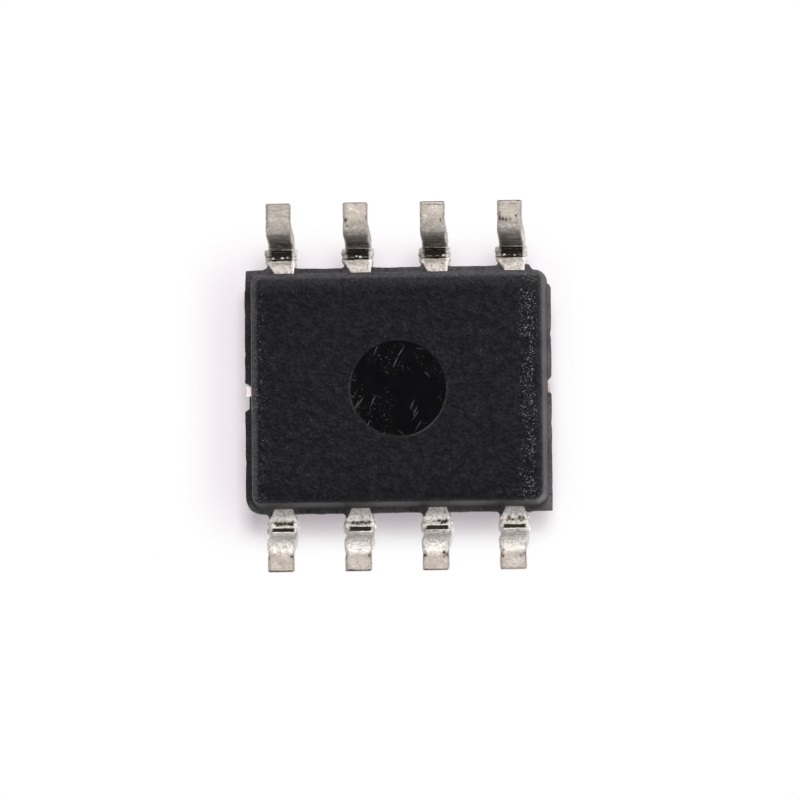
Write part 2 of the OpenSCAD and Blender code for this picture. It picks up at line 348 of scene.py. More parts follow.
@dataclass(frozen=True)
class GrainedResin(Finish):
    """Black mould compound with the fine grain of a spark-eroded mould and glassy filler specks, which are
    painted bright as glints.

    The spans say where a zone of the underside starts and where it is full, in millimetres along X for the
    two strips where the painted glints gather, along Y for the painted highlight towards +Y and the painted
    shade towards -Y, and in height for all.
    """

    name: str = "grained_resin"
    dark: Colour = (0.0018, 0.0018, 0.0030)
    pale: Colour = (0.0128, 0.0124, 0.0176)
    # painted highlight: the grey that the mesh attribute lays on edges, walls, ledges and the recess's rim
    painted_highlight: Colour = (0.145, 0.137, 0.143)
    # filler specks, painted bright as glints
    filler_glint: Colour = (0.34, 0.33, 0.34)
    specular: float = 0.075
    roughness: float = 0.44
    grain_per_mm: float = 19.0
    cloud_per_mm: float = 1.4
    relief: float = 0.017
    underside: Pair = (0.30, 0.20)
    # strips near both ends, fuller towards -X, where more filler specks are painted as glints
    glint_in: Pair = (-1.90, -2.20)
    glint_out: Pair = (-2.40, -2.25)
    glint_plus: Pair = (2.06, 2.22)
    # painted highlight: the underside greys towards its +Y edge
    highlight_span: Pair = (1.56, 1.84)
    # painted shade: the underside darkens towards -Y
    shade_span: Pair = (-1.40, -1.80)

    def paint(self, g: Graph) -> dict[str, object]:
        """Grain, specks painted as glints, and the strips where they gather. The mesh attribute of painted
        highlights greys edges, walls, ledges and the recess's rim.

        Args:
            g: The material's graph.

        Returns:
            What goes into the main shader.
        """
        at = g.place()
        across, along = g.axis(at, "X"), g.axis(at, "Y")
        under = g.axis(at, "Z").eased(*self.underside)
        grain = g.noise(at, self.grain_per_mm, 3.0, 0.6)
        lumps = g.noise(at, self.grain_per_mm * 0.45, 2.0, 0.6)
        glint = g.noise(at, self.grain_per_mm * 2.0, 2.0, 0.6)
        cloud = g.noise(at, self.cloud_per_mm, 2.0)
        scratch = (g.strokes(64.0, 5.0, 0.06, 0.05) + g.strokes(-28.0, 4.0, 0.05, 0.04)).held()
        # painted glints gather in strips near both ends
        glint_zone = across.eased(*self.glint_in) * across.eased(*self.glint_out)
        glint_zone = (glint_zone + across.eased(*self.glint_plus) * 0.45) * under
        patchy = (cloud + (lumps - 0.5) * 1.4 + glint_zone * 0.30).eased(0.46, 0.72)
        filler_glint = (glint + glint_zone * 0.05).eased(0.60, 0.82) * patchy
        # painted highlight on edges, walls, ledges and the recess's rim, read from the mesh
        painted_highlight = g.mark("painted_highlight")
        tone = (grain - 0.5) * 2.9 + (lumps - 0.5) * 2.6 + 0.40 + scratch * 0.3
        # painted shade, darker towards -Y
        tone = (tone - along.eased(*self.shade_span) * under * 0.20).held()
        # painted highlight: grey from the mesh attribute and towards +Y
        grey = ((painted_highlight + along.eased(*self.highlight_span) * under * 0.26) * (grain * 1.6 - 0.1)).held()
        colour = g.mix(g.mix(self.dark, self.pale, tone), self.painted_highlight, grey)
        colour = g.mix(colour, self.filler_glint, (filler_glint * (0.30 + glint_zone)).held())
        roughness = self.roughness + (grain - 0.5) * 0.4 - filler_glint * 0.15 + painted_highlight * 0.1
        height = grain * 0.6 + lumps * 0.7 - scratch * 0.15 + filler_glint * 0.1
        return dict(
            Base_Color=colour, Roughness=roughness, Specular=self.specular,
            Normal=g.bump(height, self.relief),
        )


@dataclass(frozen=True)
class PressedResin(Finish):
    """Resin pressed glossy by the flat end of an ejector pin, with random fine scratches.

    Each set of scratches has a direction in degrees, a number to the millimetre, the share of
    the places that hold one, and half a scratch's width as a share of the distance between two.
    """

    name: str = "pressed_resin"
    dark: Colour = (0.0022, 0.0024, 0.0030)
    pale: Colour = (0.085, 0.083, 0.088)
    specular: float = 0.07
    roughness: float = 0.16
    relief: float = 0.0012
    scratches: tuple[tuple[float, float, float, float], ...] = (
        (-24.0, 13.0, 0.30, 0.15), (-33.0, 9.0, 0.24, 0.11), (48.0, 12.0, 0.12, 0.11),
        (84.0, 9.0, 0.10, 0.08),
    )

    def paint(self, g: Graph) -> dict[str, object]:
        """A glossy face under scratches, dust and flecks.

        Args:
            g: The material's graph.

        Returns:
            What goes into the main shader.
        """
        at = g.place()
        smear = g.noise(at, 5.0, 2.0)
        zone = g.noise(at, 2.6, 1.0).eased(0.46, 0.62)
        fleck = g.noise(at, 30.0, 3.0, 0.6).eased(0.58, 0.74) * zone
        scratch = sum(g.strokes(*kind) for kind in self.scratches).held()
        dust = g.specks(at, 16.0, 0.05, 0.24)
        mark = (scratch * (0.15 + smear * 0.5 + zone * 0.5) + dust * 0.4 + fleck * 0.8).held()
        return dict(
            Base_Color=g.mix(self.dark, self.pale, mark), Specular=self.specular,
            Roughness=self.roughness + smear * 0.10 + mark * 0.25,
            Normal=g.bump(smear * 0.5 - scratch * 0.5 + dust * 0.6, self.relief),
        )


@dataclass(frozen=True)
class TinPlate(Finish):
    """Matte tin on a formed copper lead: mottled, streaked by the tool, tarnished and painted with shade in
    the bends, and painted with highlights and light in places.

    The tin is calmer towards the ground. sole holds the heights in millimetres where that starts and
    where it is full.
    """

    name: str = "tin_plate"
    bright: Colour = (0.77, 0.715, 0.67)
    beige: Colour = (0.43, 0.375, 0.325)
    # dark of tarnish and of painted shade
    tarnish_and_painted_light: Colour = (0.026, 0.020, 0.015)
    # painted highlight and painted light
    painted_bright: Colour = (0.96, 0.93, 0.91)
    metallic: float = 0.34
    specular: float = 0.3
    roughness: float = 0.46
    relief: float = 0.006
    sole: Pair = (0.040, 0.012)

    def paint(self, g: Graph) -> dict[str, object]:
        """Mottled tin. A mesh attribute darkens it above 0, as tarnish and painted shade, and brightens it
        below 0, as painted highlights and painted light.

        Args:
            g: The material's graph.

        Returns:
            What goes into the main shader.
        """
        at = g.place()
        blotch = g.noise(at, 6.0, 3.0, 0.6)
        mottle = g.noise(at, 17.0, 3.0, 0.65)
        streak = g.noise(g.place((0.12, 1.0, 1.0)), 30.0, 2.0)
        pin = g.specks(at, 13.0, 0.20, 0.30)
        spark = g.noise(at, 36.0, 2.0, 0.6) - 0.5
        sole = g.axis(at, "Z").eased(*self.sole)
        # the mesh attribute: tarnish and painted shade above 0, painted highlights and painted light below 0
        mark = g.mark("tarnish_and_painted_light")
        dark, painted_bright = mark.held(), (0.0 - mark).held()
        patchy = (streak - 0.5) * 7.0 + spark * 9.5
        dark = (dark * 1.15 + dark * (1.0 - dark) * patchy).held()
        tone = (mottle - 0.5) * (2.9 - sole * 2.0) + (blotch - 0.5) * (1.0 + sole * 0.6)
        tone = (tone + spark * (3.6 - sole * 1.8) + 0.5 - sole * 0.36).held()
        plate = g.mix(g.mix(self.beige, self.bright, tone), self.beige, pin * 0.6)
        plate = g.mix(plate, self.painted_bright, (painted_bright * (mottle * 3.0 - 0.65 + spark * 3.0)).held())
        height = mottle * 0.7 + blotch * 0.5 - pin * 0.35 + streak * dark * 0.5
        return dict(
            Base_Color=g.mix(plate, self.tarnish_and_painted_light, dark), Metallic=self.metallic + dark * 0.2,
            Roughness=self.roughness + mottle * 0.16 + dark * 0.08, Specular=self.specular,
            Normal=g.bump(height, self.relief),
        )


@dataclass(frozen=True)
class CutCopper(Finish):
    """Bare copper alloy where a punch cut through the lead frame: sheared streaks, oxide brown.

    Tin from the punch is smeared over the cut at the +X end, past the smeared span.
    """

    name: str = "cut_copper"
    clean: Colour = (0.60, 0.45, 0.38)
    oxide: Colour = (0.22, 0.15, 0.12)
    smear: Colour = (0.72, 0.66, 0.63)
    roughness: float = 0.38
    relief: float = 0.003
    smeared: Pair = (2.0, 2.3)

    def paint(self, g: Graph) -> dict[str, object]:
        """Sheared streaks, with smeared tin.

        Args:
            g: The material's graph.

        Returns:
            What goes into the main shader.
        """
        at = g.place()
        shear = g.noise(g.place((1.0, 1.0, 0.08)), 42.0, 2.0)
        patch = g.noise(at, 9.0, 2.0)
        smeared = g.axis(at, "X").eased(*self.smeared)
        colour = g.mix(self.oxide, self.clean, (shear * 0.7 + patch * 0.8 - 0.3).held())
        return dict(
            Base_Color=g.mix(colour, self.smear, smeared * 0.85), Metallic=1.0,
            Roughness=self.roughness + shear * 0.2, Normal=g.bump(shear, self.relief),
        )


@dataclass(frozen=True)
class InnerFinish(Finish):
    """Finish of a piece that the resin seals in: a colour with a fine grain of its own."""

    low: Colour
    high: Colour
    metallic: float
    roughness: float
    per_mm: float
    relief: float = 0.001

    def paint(self, g: Graph) -> dict[str, object]:
        """Fine grain between the two colours.

        Args:
            g: The material's graph.

        Returns:
            What goes into the main shader.
        """
        grain = g.noise(g.place(), self.per_mm, 3.0)
        return dict(
            Base_Color=g.mix(self.low, self.high, grain.eased(0.35, 0.65)),
            Metallic=self.metallic, Roughness=self.roughness + (grain - 0.5) * 0.2,
            Normal=g.bump(grain, self.relief),
        )


class Inner(Enum):
    """The finishes of the sealed pieces."""

    SILVER_EPOXY = InnerFinish("filled_epoxy", (0.42, 0.42, 0.43), (0.70, 0.70, 0.71), 0.8, 0.45, 60.0)
    SILICON = InnerFinish("polished_silicon", (0.10, 0.11, 0.15), (0.24, 0.25, 0.31), 0.4, 0.18, 12.0)
    GOLD = InnerFinish("drawn_gold", (0.78, 0.58, 0.22), (0.90, 0.72, 0.36), 1.0, 0.22, 80.0)


# ---- meshes ----

@dataclass
class PieceMesh:
    """Collects the points and faces of one piece, in millimetres."""

    points: list[Array] = field(default_factory=list)
    faces: list[tuple[int, ...]] = field(default_factory=list)
    inks: list[int] = field(default_factory=list)
    count: int = 0
    # two points nearer than this, in millimetres, would be one
    SAME_PLACE: ClassVar[float] = 1e-7

    def put(self, points: Array) -> Array:
        """Adds points.

        Args:
            points: Rows of X, Y and Z.

        Returns:
            Their numbers in the mesh.
        """
        self.points.append(np.asarray(points, float).reshape(-1, 3))
        first = self.count
        self.count += len(self.points[-1])
        return np.arange(first, self.count)

    def add_face(self, corners: Sequence[int], ink: int = 0) -> None:
        """Adds one face with a material number."""
        self.faces.append(tuple(int(c) for c in corners))
        self.inks.append(ink)

    def skin(self, rings: Sequence[Array], ink: int = 0) -> None:
        """Joins equal closed rings, each to the next, with four-sided faces.

        Args:
            rings: Point numbers of each ring, all as long and in the same turn.
            ink: Material number.
        """
        size = len(rings[0])
        for near, far in zip(rings, rings[1:]):
            for i in range(size):
                j = (i + 1) % size
                self.add_face((near[i], near[j], far[j], far[i]), ink)

    def fan(self, ring: Array, centre: Array, turn: int, ink: int = 0) -> None:
        """Closes a ring with triangles to its middle.

        Args:
            ring: Point numbers.
            centre: The middle point.
            turn: 1 keeps the ring's turn, -1 reverses it.
            ink: Material number.
        """
        middle = self.put(centre)[0]
        for i in range(len(ring)):
            pair = (ring[i], ring[(i + 1) % len(ring)])[::turn]
            self.add_face((*pair, middle), ink)

    def plate(self, outer: Array, hole: Array, turn: int, ink: int = 0) -> None:
        """Fills the flat face between an outer loop and a round hole.

        Args:
            outer: Point numbers of the loop.
            hole: Point numbers of the hole's rim.
            turn: 1 for a face that looks to +Z, -1 for -Z.
            ink: Material number.
        """
        every = np.vstack(self.points)
        ids = np.concatenate([outer, hole])
        flat = [Vector(p[:2]) for p in every[ids]]
        n = len(outer)
        edges = [(i, (i + 1) % n) for i in range(n)]
        edges += [(n + i, n + (i + 1) % len(hole)) for i in range(len(hole))]
        _, _, faces, came, _, _ = delaunay_2d_cdt(flat, edges, [], 1, self.SAME_PLACE)
        for face in faces:
            if any(came[k][0] < n for k in face):
                self.add_face([ids[came[k][0]] for k in face][::turn], ink)

    def build(
        self,
        name: str,
        materials: Sequence[bpy.types.Material],
        crease: float,
        marks: dict[str, Array] | None = None,
    ) -> bpy.types.Object:
        """Makes the object.

        Args:
            name: The piece's name.
            materials: Its materials, by number.
            crease: Angle in degrees above which an edge is sharp.
            marks: Attributes with one value for each point. Points left over get 0.

        Returns:
            The object, in metres.
        """
        mesh = bpy.data.meshes.new(name)
        mesh.from_pydata((np.vstack(self.points) * MM).tolist(), [], self.faces)
        for material in materials:
            mesh.materials.append(material)
        mesh.polygons.foreach_set("material_index", self.inks)
        mesh.shade_smooth()
        mesh.set_sharp_from_angle(angle=math.radians(crease))
        for mark, values in (marks or {}).items():
            full = np.pad(values, (0, self.count - len(values)))
            mesh.attributes.new(mark, "FLOAT", "POINT").data.foreach_set("value", full)
        mesh.update()
        mesh.validate()
        LOG.info("%s: %d points, %d faces", name, self.count, len(self.faces))
        return add_object(name, mesh)


def add_object(name: str, data: bpy.types.ID) -> bpy.types.Object:
    """Puts a mesh, a lamp or a camera into the scene as an object.

    Args:
        name: The object's name.
        data: What it shows.

    Returns:
        The object.
    """
    added = bpy.data.objects.new(name, data)
    bpy.context.scene.collection.objects.link(added)
    return added


def spaced(start: float, end: float, spans: Sequence[Pair]) -> list[float]:
    """Places along a side, close together in some spans and further apart elsewhere.

    Args:
        start: The first place, in millimetres.
        end: The last place, which is left out.
        spans: The spans that need fine steps.

    Returns:
        The places, from start up to but without end.
    """
    fine, coarse, growth = 0.006, 0.036, 0.25
    way, places = 1.0 if end > start else -1.0, [start]
    while True:
        here = places[-1]
        away = min((max(lo - here, here - hi, 0.0) for lo, hi in spans), default=1.0)
        step = here + way * min(coarse, fine + growth * away)
        if (end - step) * way < fine:
            return places
        places.append(step)


def sole_mounts() -> dict[int, Triple]:
    """The middle of each lead's sole in millimetres, by number, from the record's mounts."""
    named = {mount["name"]: mount["pos_m"] for mount in frame["record"]["mounts"]}
    return {n: tuple(v / MM for v in named[f"lead_{n}_sole"]) for n in range(1, LEAD_COUNT + 1)}


@dataclass(frozen=True)
class Strip:
    """Middle line of a formed lead, seen along X: shoulder, upper bend, leg, heel and foot."""

    head_y: float
    toe_y: float
    shoulder_z: float = 0.85
    thick: float = 0.20
    drawn_bend_y: float = 2.27
    drawn_r: float = 0.22
    upper_r: float = 0.35
    heel_r: float = 0.22
    angle: float = math.radians(80.0)

    @property
    def bend_y(self) -> float:
        """Start of the upper bend, which keeps the leg where it is drawn."""
        return self.drawn_bend_y - (self.upper_r - self.drawn_r) * math.tan(self.angle / 2)

    @property
    def stations(self) -> tuple[float, float, float, float, float]:
        """Ways along the line.

        Returns:
            The ways to the upper bend, the leg, the heel, the foot and the toe.
        """
        s, c = math.sin(self.angle), math.cos(self.angle)
        drop = self.shoulder_z - self.thick / 2 - (self.upper_r + self.heel_r) * (1 - c)
        bend = self.bend_y - self.head_y
        leg = bend + self.upper_r * self.angle
        heel = leg + drop / s
        foot = heel + self.heel_r * self.angle
        foot_y = self.bend_y + (self.upper_r + self.heel_r) * s + drop / s * c
        return bend, leg, heel, foot, foot + self.toe_y - foot_y

    def read(self, t: Array) -> tuple[Array, Array, Array]:
        """Reads the line.

        Args:
            t: Ways along it.

        Returns:
            Distance across the package, height, and slope downwards as an angle.
        """
        bend, leg, heel, foot, _ = self.stations
        s, c = math.sin(self.angle), math.cos(self.angle)
        first = np.clip(t - bend, 0.0, leg - bend) / self.upper_r
        straight = np.clip(t - leg, 0.0, heel - leg)
        second = np.clip(t - heel, 0.0, foot - heel) / self.heel_r
        flat = np.minimum(t, bend) + np.maximum(t - foot, 0.0)
        y = self.head_y + flat + self.upper_r * np.sin(first) + straight * c
        y = y + self.heel_r * (s - np.sin(self.angle - second))
        z = self.shoulder_z - self.upper_r * (1 - np.cos(first)) - straight * s
        z = z - self.heel_r * (np.cos(self.angle - second) - c)
        return y, z, first - second


@dataclass(frozen=True)
class Stripe:
    """A stripe across a lead, from start to end along it and from low to high across it.

    Ways along start at the upper bend. dark is how much the stripe darkens the plate, as tarnish with
    painted shade, and it is negative where the stripe is a painted highlight on a raised line. rise is its
    height.
    """

    start: float
    end: float
    low: float = -0.30
    high: float = 0.30
    dark: float = 0.9
    rise: float = 0.0

    def cover(self, a: Array, t: Array) -> Array:
        """How much of the stripe there is.

        Args:
            a: Place across the strip.
            t: Way along it from the upper bend.

        Returns:
            From 0 to 1.
        """
        soft = min(0.010, (self.end - self.start) * 0.5)
        on = smooth(t, self.start, self.start + soft) * smooth(t, self.end, self.end - soft)
        return on * smooth(a, self.low, self.low + 0.03) * smooth(a, self.high, self.high - 0.03)


@dataclass(frozen=True)
class Spot:
    """A small round mark of a lead, at a across it and t along it from the upper bend.

    It is a pit painted dark as shade, or a raised bead painted bright as a highlight where dark is negative.
    rise is its height.
    """

    a: float
    t: float
    wide: float
    dark: float = 0.9
    rise: float = -0.004

    def cover(self, a: Array, t: Array) -> Array:
        """How much of the spot there is, from 0 to 1, at each place across and way along."""
        return np.exp(-((((a - self.a) ** 2 + (t - self.t) ** 2) / (0.36 * self.wide ** 2)) ** 1.5))


MarksAndLight = tuple[Stripe | Spot, ...]


@dataclass(frozen=True)
class Row:
    """What the leads of one row have in common. A pair holds the sides towards -X and +X.

    exit_half and ear_half are half-widths at the resin and over the dam-bar stubs. leg_more and foot_more
    say how much wider than drawn the leg and foot are, and heel_dent how deep the dents in the heel's sides
    are. The darkening values are painted shade: in those dents, on the stubs' +X side and on the shoulder by
    the bend; down the leg they are tarnish with painted shade. The brightening values are painted light, on
    the shoulder and the leg.
    """

    exit_half: Pair
    ear_half: Pair
    leg_more: Pair = (0.0, 0.0)
    foot_more: Pair = (0.0, 0.0)
    heel_dent: float = 0.005
    dent_painted_shade: float = 0.3
    ear_painted_shade: float = 0.45
    shoulder_painted_light: float = 0.15
    shin_painted_light: float = 0.0
    shin_tarnish_and_shade: float = 0.0
    shoulder_painted_shade: float = 0.0
    wear_and_light: MarksAndLight = ()


@dataclass(frozen=True)
class Own:
    """What one lead has of its own: its marks, how dark its toe's cut edge, the line beside that edge and
    the sole are, how dark the painted shade of the crease arc where the sole starts is, and the height of a
    seam down the sole.
    """

    wear_and_light: MarksAndLight
    cut_dark: float = 0.62
    line_dark: float = 0.0
    arc_dark: float = 0.0
    sole_dark: float = 0.0
    seam: float = 0.0


# the row towards +Y is dark in the bend and down the leg, tarnish with painted shade, with thin painted
# highlights across it on raised lines
ROWS: dict[float, Row] = {
    1.0: Row(
        (0.225, 0.165), (0.238, 0.276), shin_tarnish_and_shade=0.57, shoulder_painted_shade=0.34,
        wear_and_light=(
            Stripe(-0.006, 0.268, dark=0.93), Stripe(0.268, 0.284, -0.30, 0.02, -1.0, 0.010),
            Stripe(0.200, 0.214, dark=-0.35, rise=0.004), Stripe(0.030, 0.040, dark=-0.3, rise=0.003),
        ),
    ),
    -1.0: Row(
        (0.175, 0.185), (0.236, 0.268), (0.024, 0.018), (0.026, 0.002), heel_dent=0.011, dent_painted_shade=0.8,
        ear_painted_shade=0.30, shoulder_painted_light=1.1, shin_painted_light=0.60,
    ),
}
LEADS: dict[int, Own] = {
    1: Own((
        Spot(-0.14, -0.015, 0.050), Spot(-0.08, -0.030, 0.070), Spot(0.09, -0.020, 0.060),
        Spot(0.03, 0.010, 0.040), Spot(-0.11, 0.040, 0.04, 0.7), Spot(0.12, 0.030, 0.04, 0.6),
        Spot(-0.02, -0.09, 0.035, 0.6), Stripe(0.120, 0.228, dark=0.97),
        Stripe(0.234, 0.266, dark=-1.0, rise=0.006), Stripe(0.296, 0.314, dark=0.8),
        Stripe(0.36, 0.39, -0.30, 0.0, 0.75), Spot(0.15, 1.13, 0.040, 0.7),
        Spot(-0.14, 1.12, 0.045, 0.8), Spot(0.14, 1.05, 0.030, 0.6),
    ), cut_dark=0.0),
    2: Own((
        Spot(-0.15, 0.010, 0.060), Spot(-0.10, 0.030, 0.085), Spot(-0.03, 0.010, 0.070),
        Spot(-0.13, 0.066, 0.055), Spot(0.05, 0.03, 0.045, 0.6), Spot(-0.07, 0.068, 0.045),
        Stripe(0.095, 0.125, dark=-1.0, rise=0.005), Stripe(0.130, 0.250, dark=0.96),
        Stripe(0.252, 0.272, -0.30, 0.03, -1.0, 0.006), Stripe(0.274, 0.294, -0.30, 0.08, 0.85),
        Spot(0.155, 1.10, 0.045, 0.8), Spot(-0.155, 1.06, 0.045, 0.8), Spot(-0.15, 1.12, 0.030, 0.7),
    ), arc_dark=0.12),
    3: Own((
        Spot(-0.14, 0.024, 0.065), Spot(-0.08, 0.040, 0.060), Spot(-0.02, 0.018, 0.075),
        Spot(0.05, 0.040, 0.070), Spot(0.12, 0.024, 0.060), Spot(0.02, 0.058, 0.045),
        Stripe(0.086, 0.112, dark=-1.0, rise=0.006), Stripe(0.122, 0.256, dark=0.97),
        Stripe(0.260, 0.282, -0.30, 0.05, -1.0, 0.006),
    ), arc_dark=0.10),
    4: Own((
        Spot(-0.15, 0.020, 0.065), Spot(-0.09, 0.040, 0.085), Spot(-0.02, 0.025, 0.080),
        Spot(0.05, 0.040, 0.085), Spot(0.12, 0.025, 0.065), Spot(-0.13, 0.066, 0.055),
        Spot(0.10, 0.066, 0.055), Stripe(0.097, 0.127, dark=-1.0, rise=0.007),
        Stripe(0.149, 0.270, dark=0.97), Stripe(0.274, 0.290, dark=-1.0, rise=0.006),
        Stripe(0.46, 0.475, -0.06, 0.18, 0.7),
    ), arc_dark=0.30, seam=0.004),
    5: Own((
        Spot(0.14, 0.062, 0.042, -1.2, 0.011), Spot(-0.015, 0.066, 0.045, -1.2, 0.011),
        Spot(-0.095, 0.070, 0.032, -1.2, 0.009), Stripe(0.064, 0.072, -0.17, -0.03, -0.7, 0.005),
    ), sole_dark=0.15),
    6: Own((
        Stripe(0.056, 0.072, 0.05, 0.15, -0.9, 0.008), Spot(0.03, 0.078, 0.030, -1.0, 0.008),
        Spot(0.155, 1.06, 0.050, 0.8), Spot(0.13, 0.99, 0.035, 0.6),
        Spot(0.065, 1.225, 0.030, -1.0, 0.002), Spot(-0.035, 0.062, 0.045, -1.2, 0.011),
        Stripe(0.052, 0.070, -0.16, -0.08, -0.9, 0.008),
    )),
    7: Own((
        Stripe(0.050, 0.068, 0.03, 0.16, -0.9, 0.008), Stripe(0.060, 0.072, -0.08, 0.01, -1.0, 0.009),
        Spot(-0.14, 0.064, 0.045, -1.2, 0.010), Spot(-0.12, -0.085, 0.022), Spot(-0.08, -0.060, 0.022),
        Spot(-0.035, -0.045, 0.022), Spot(0.02, -0.040, 0.022), Spot(0.07, -0.052, 0.022),
        Spot(-0.14, 1.04, 0.035, 0.7), Spot(0.10, 1.00, 0.025, 0.5),
    ), line_dark=0.45),
    8: Own((
        Spot(0.13, 0.062, 0.038, -1.2, 0.010), Stripe(0.060, 0.074, 0.01, 0.09, -0.9, 0.009),
        Spot(-0.04, 0.054, 0.030, -1.2, 0.009), Stripe(0.066, 0.080, -0.17, -0.08, -1.0, 0.009),
        Spot(0.16, 1.13, 0.050, 0.7), Spot(0.155, 1.06, 0.055, 0.8), Spot(0.10, 1.05, 0.040, 0.7),
        Spot(0.05, 1.03, 0.035, 0.7), Spot(-0.02, 1.03, 0.030, 0.6), Spot(-0.11, 1.075, 0.035, 0.7),
        Spot(-0.15, 1.10, 0.030, 0.6), Spot(0.12, 1.19, 0.025, 0.5),
    ), line_dark=0.45),
}


@dataclass(frozen=True)
class Nick:
    """A small flaw of the parting band's edge: a lump, or a dip where out is negative."""

    side: int
    at: float
    wide: float
    out: float


@dataclass(frozen=True)
class Notch:
    """The notch that the trimming punch left in the band at one end of the body."""

    side: int
    mouth: Pair
    floor: Pair


@dataclass(frozen=True)
class Pocket:
    """A round shallow pocket in a flat face, with a rounded rim and a slightly hollow floor."""

    at: Pair
    radius: float
    depth: float
    # 1 in a face that looks to +Z, -1 in one that looks to -Z
    turn: int
    lip: float = 0.009
    sides: int = 160

    def angles(self) -> Array:
        """The angles of its corners about its middle."""
        return np.arange(self.sides) / self.sides * 2 * math.pi

    def steps(self) -> list[Pair]:
        """Steps into it.

        Returns:
            Steps of (radius, share of the depth), from outside the rim to near the middle.
        """
        r, lip = self.radius, self.lip
        steps = [(r + lip + 0.02, 0.0), (r + lip, 0.0), (r + lip * 0.3, 0.15), (r, 0.4)]
        inner = ((0.003, 0.75), (0.006, 0.93), (0.012, 1.0), (0.022, 1.0))
        steps += [(r - inset, share) for inset, share in inner]
        return steps + [(r * 0.8, 1.0), (r * 0.55, 0.995), (r * 0.3, 1.0)]

    def build(self, mesh: PieceMesh, z: float) -> Array:
        """Adds it to a mesh, with the resin up to its edge and the pressed finish inside.

        Args:
            mesh: The mesh.
            z: Height of the face that it is in.

        Returns:
            Point numbers of its outermost ring.
        """
        angles, (x, y), rings = self.angles(), self.at, []
        wobble = 1.0 + 0.0025 * Grain(31 + self.turn, 0.4)(angles)
        for r, share in self.steps():
            plan = [x + r * wobble * np.cos(angles), y + r * wobble * np.sin(angles)]
            height = np.full(self.sides, z - self.turn * self.depth * share)
            rings.append(mesh.put(np.column_stack([*plan, height])))
        ordered = [ring[::self.turn] for ring in rings]
        mesh.skin(ordered[:5])
        mesh.skin(ordered[4:], 1)
        mesh.fan(ordered[-1], np.array([[x, y, z - self.turn * self.depth]]), 1, 1)
        return rings[0]


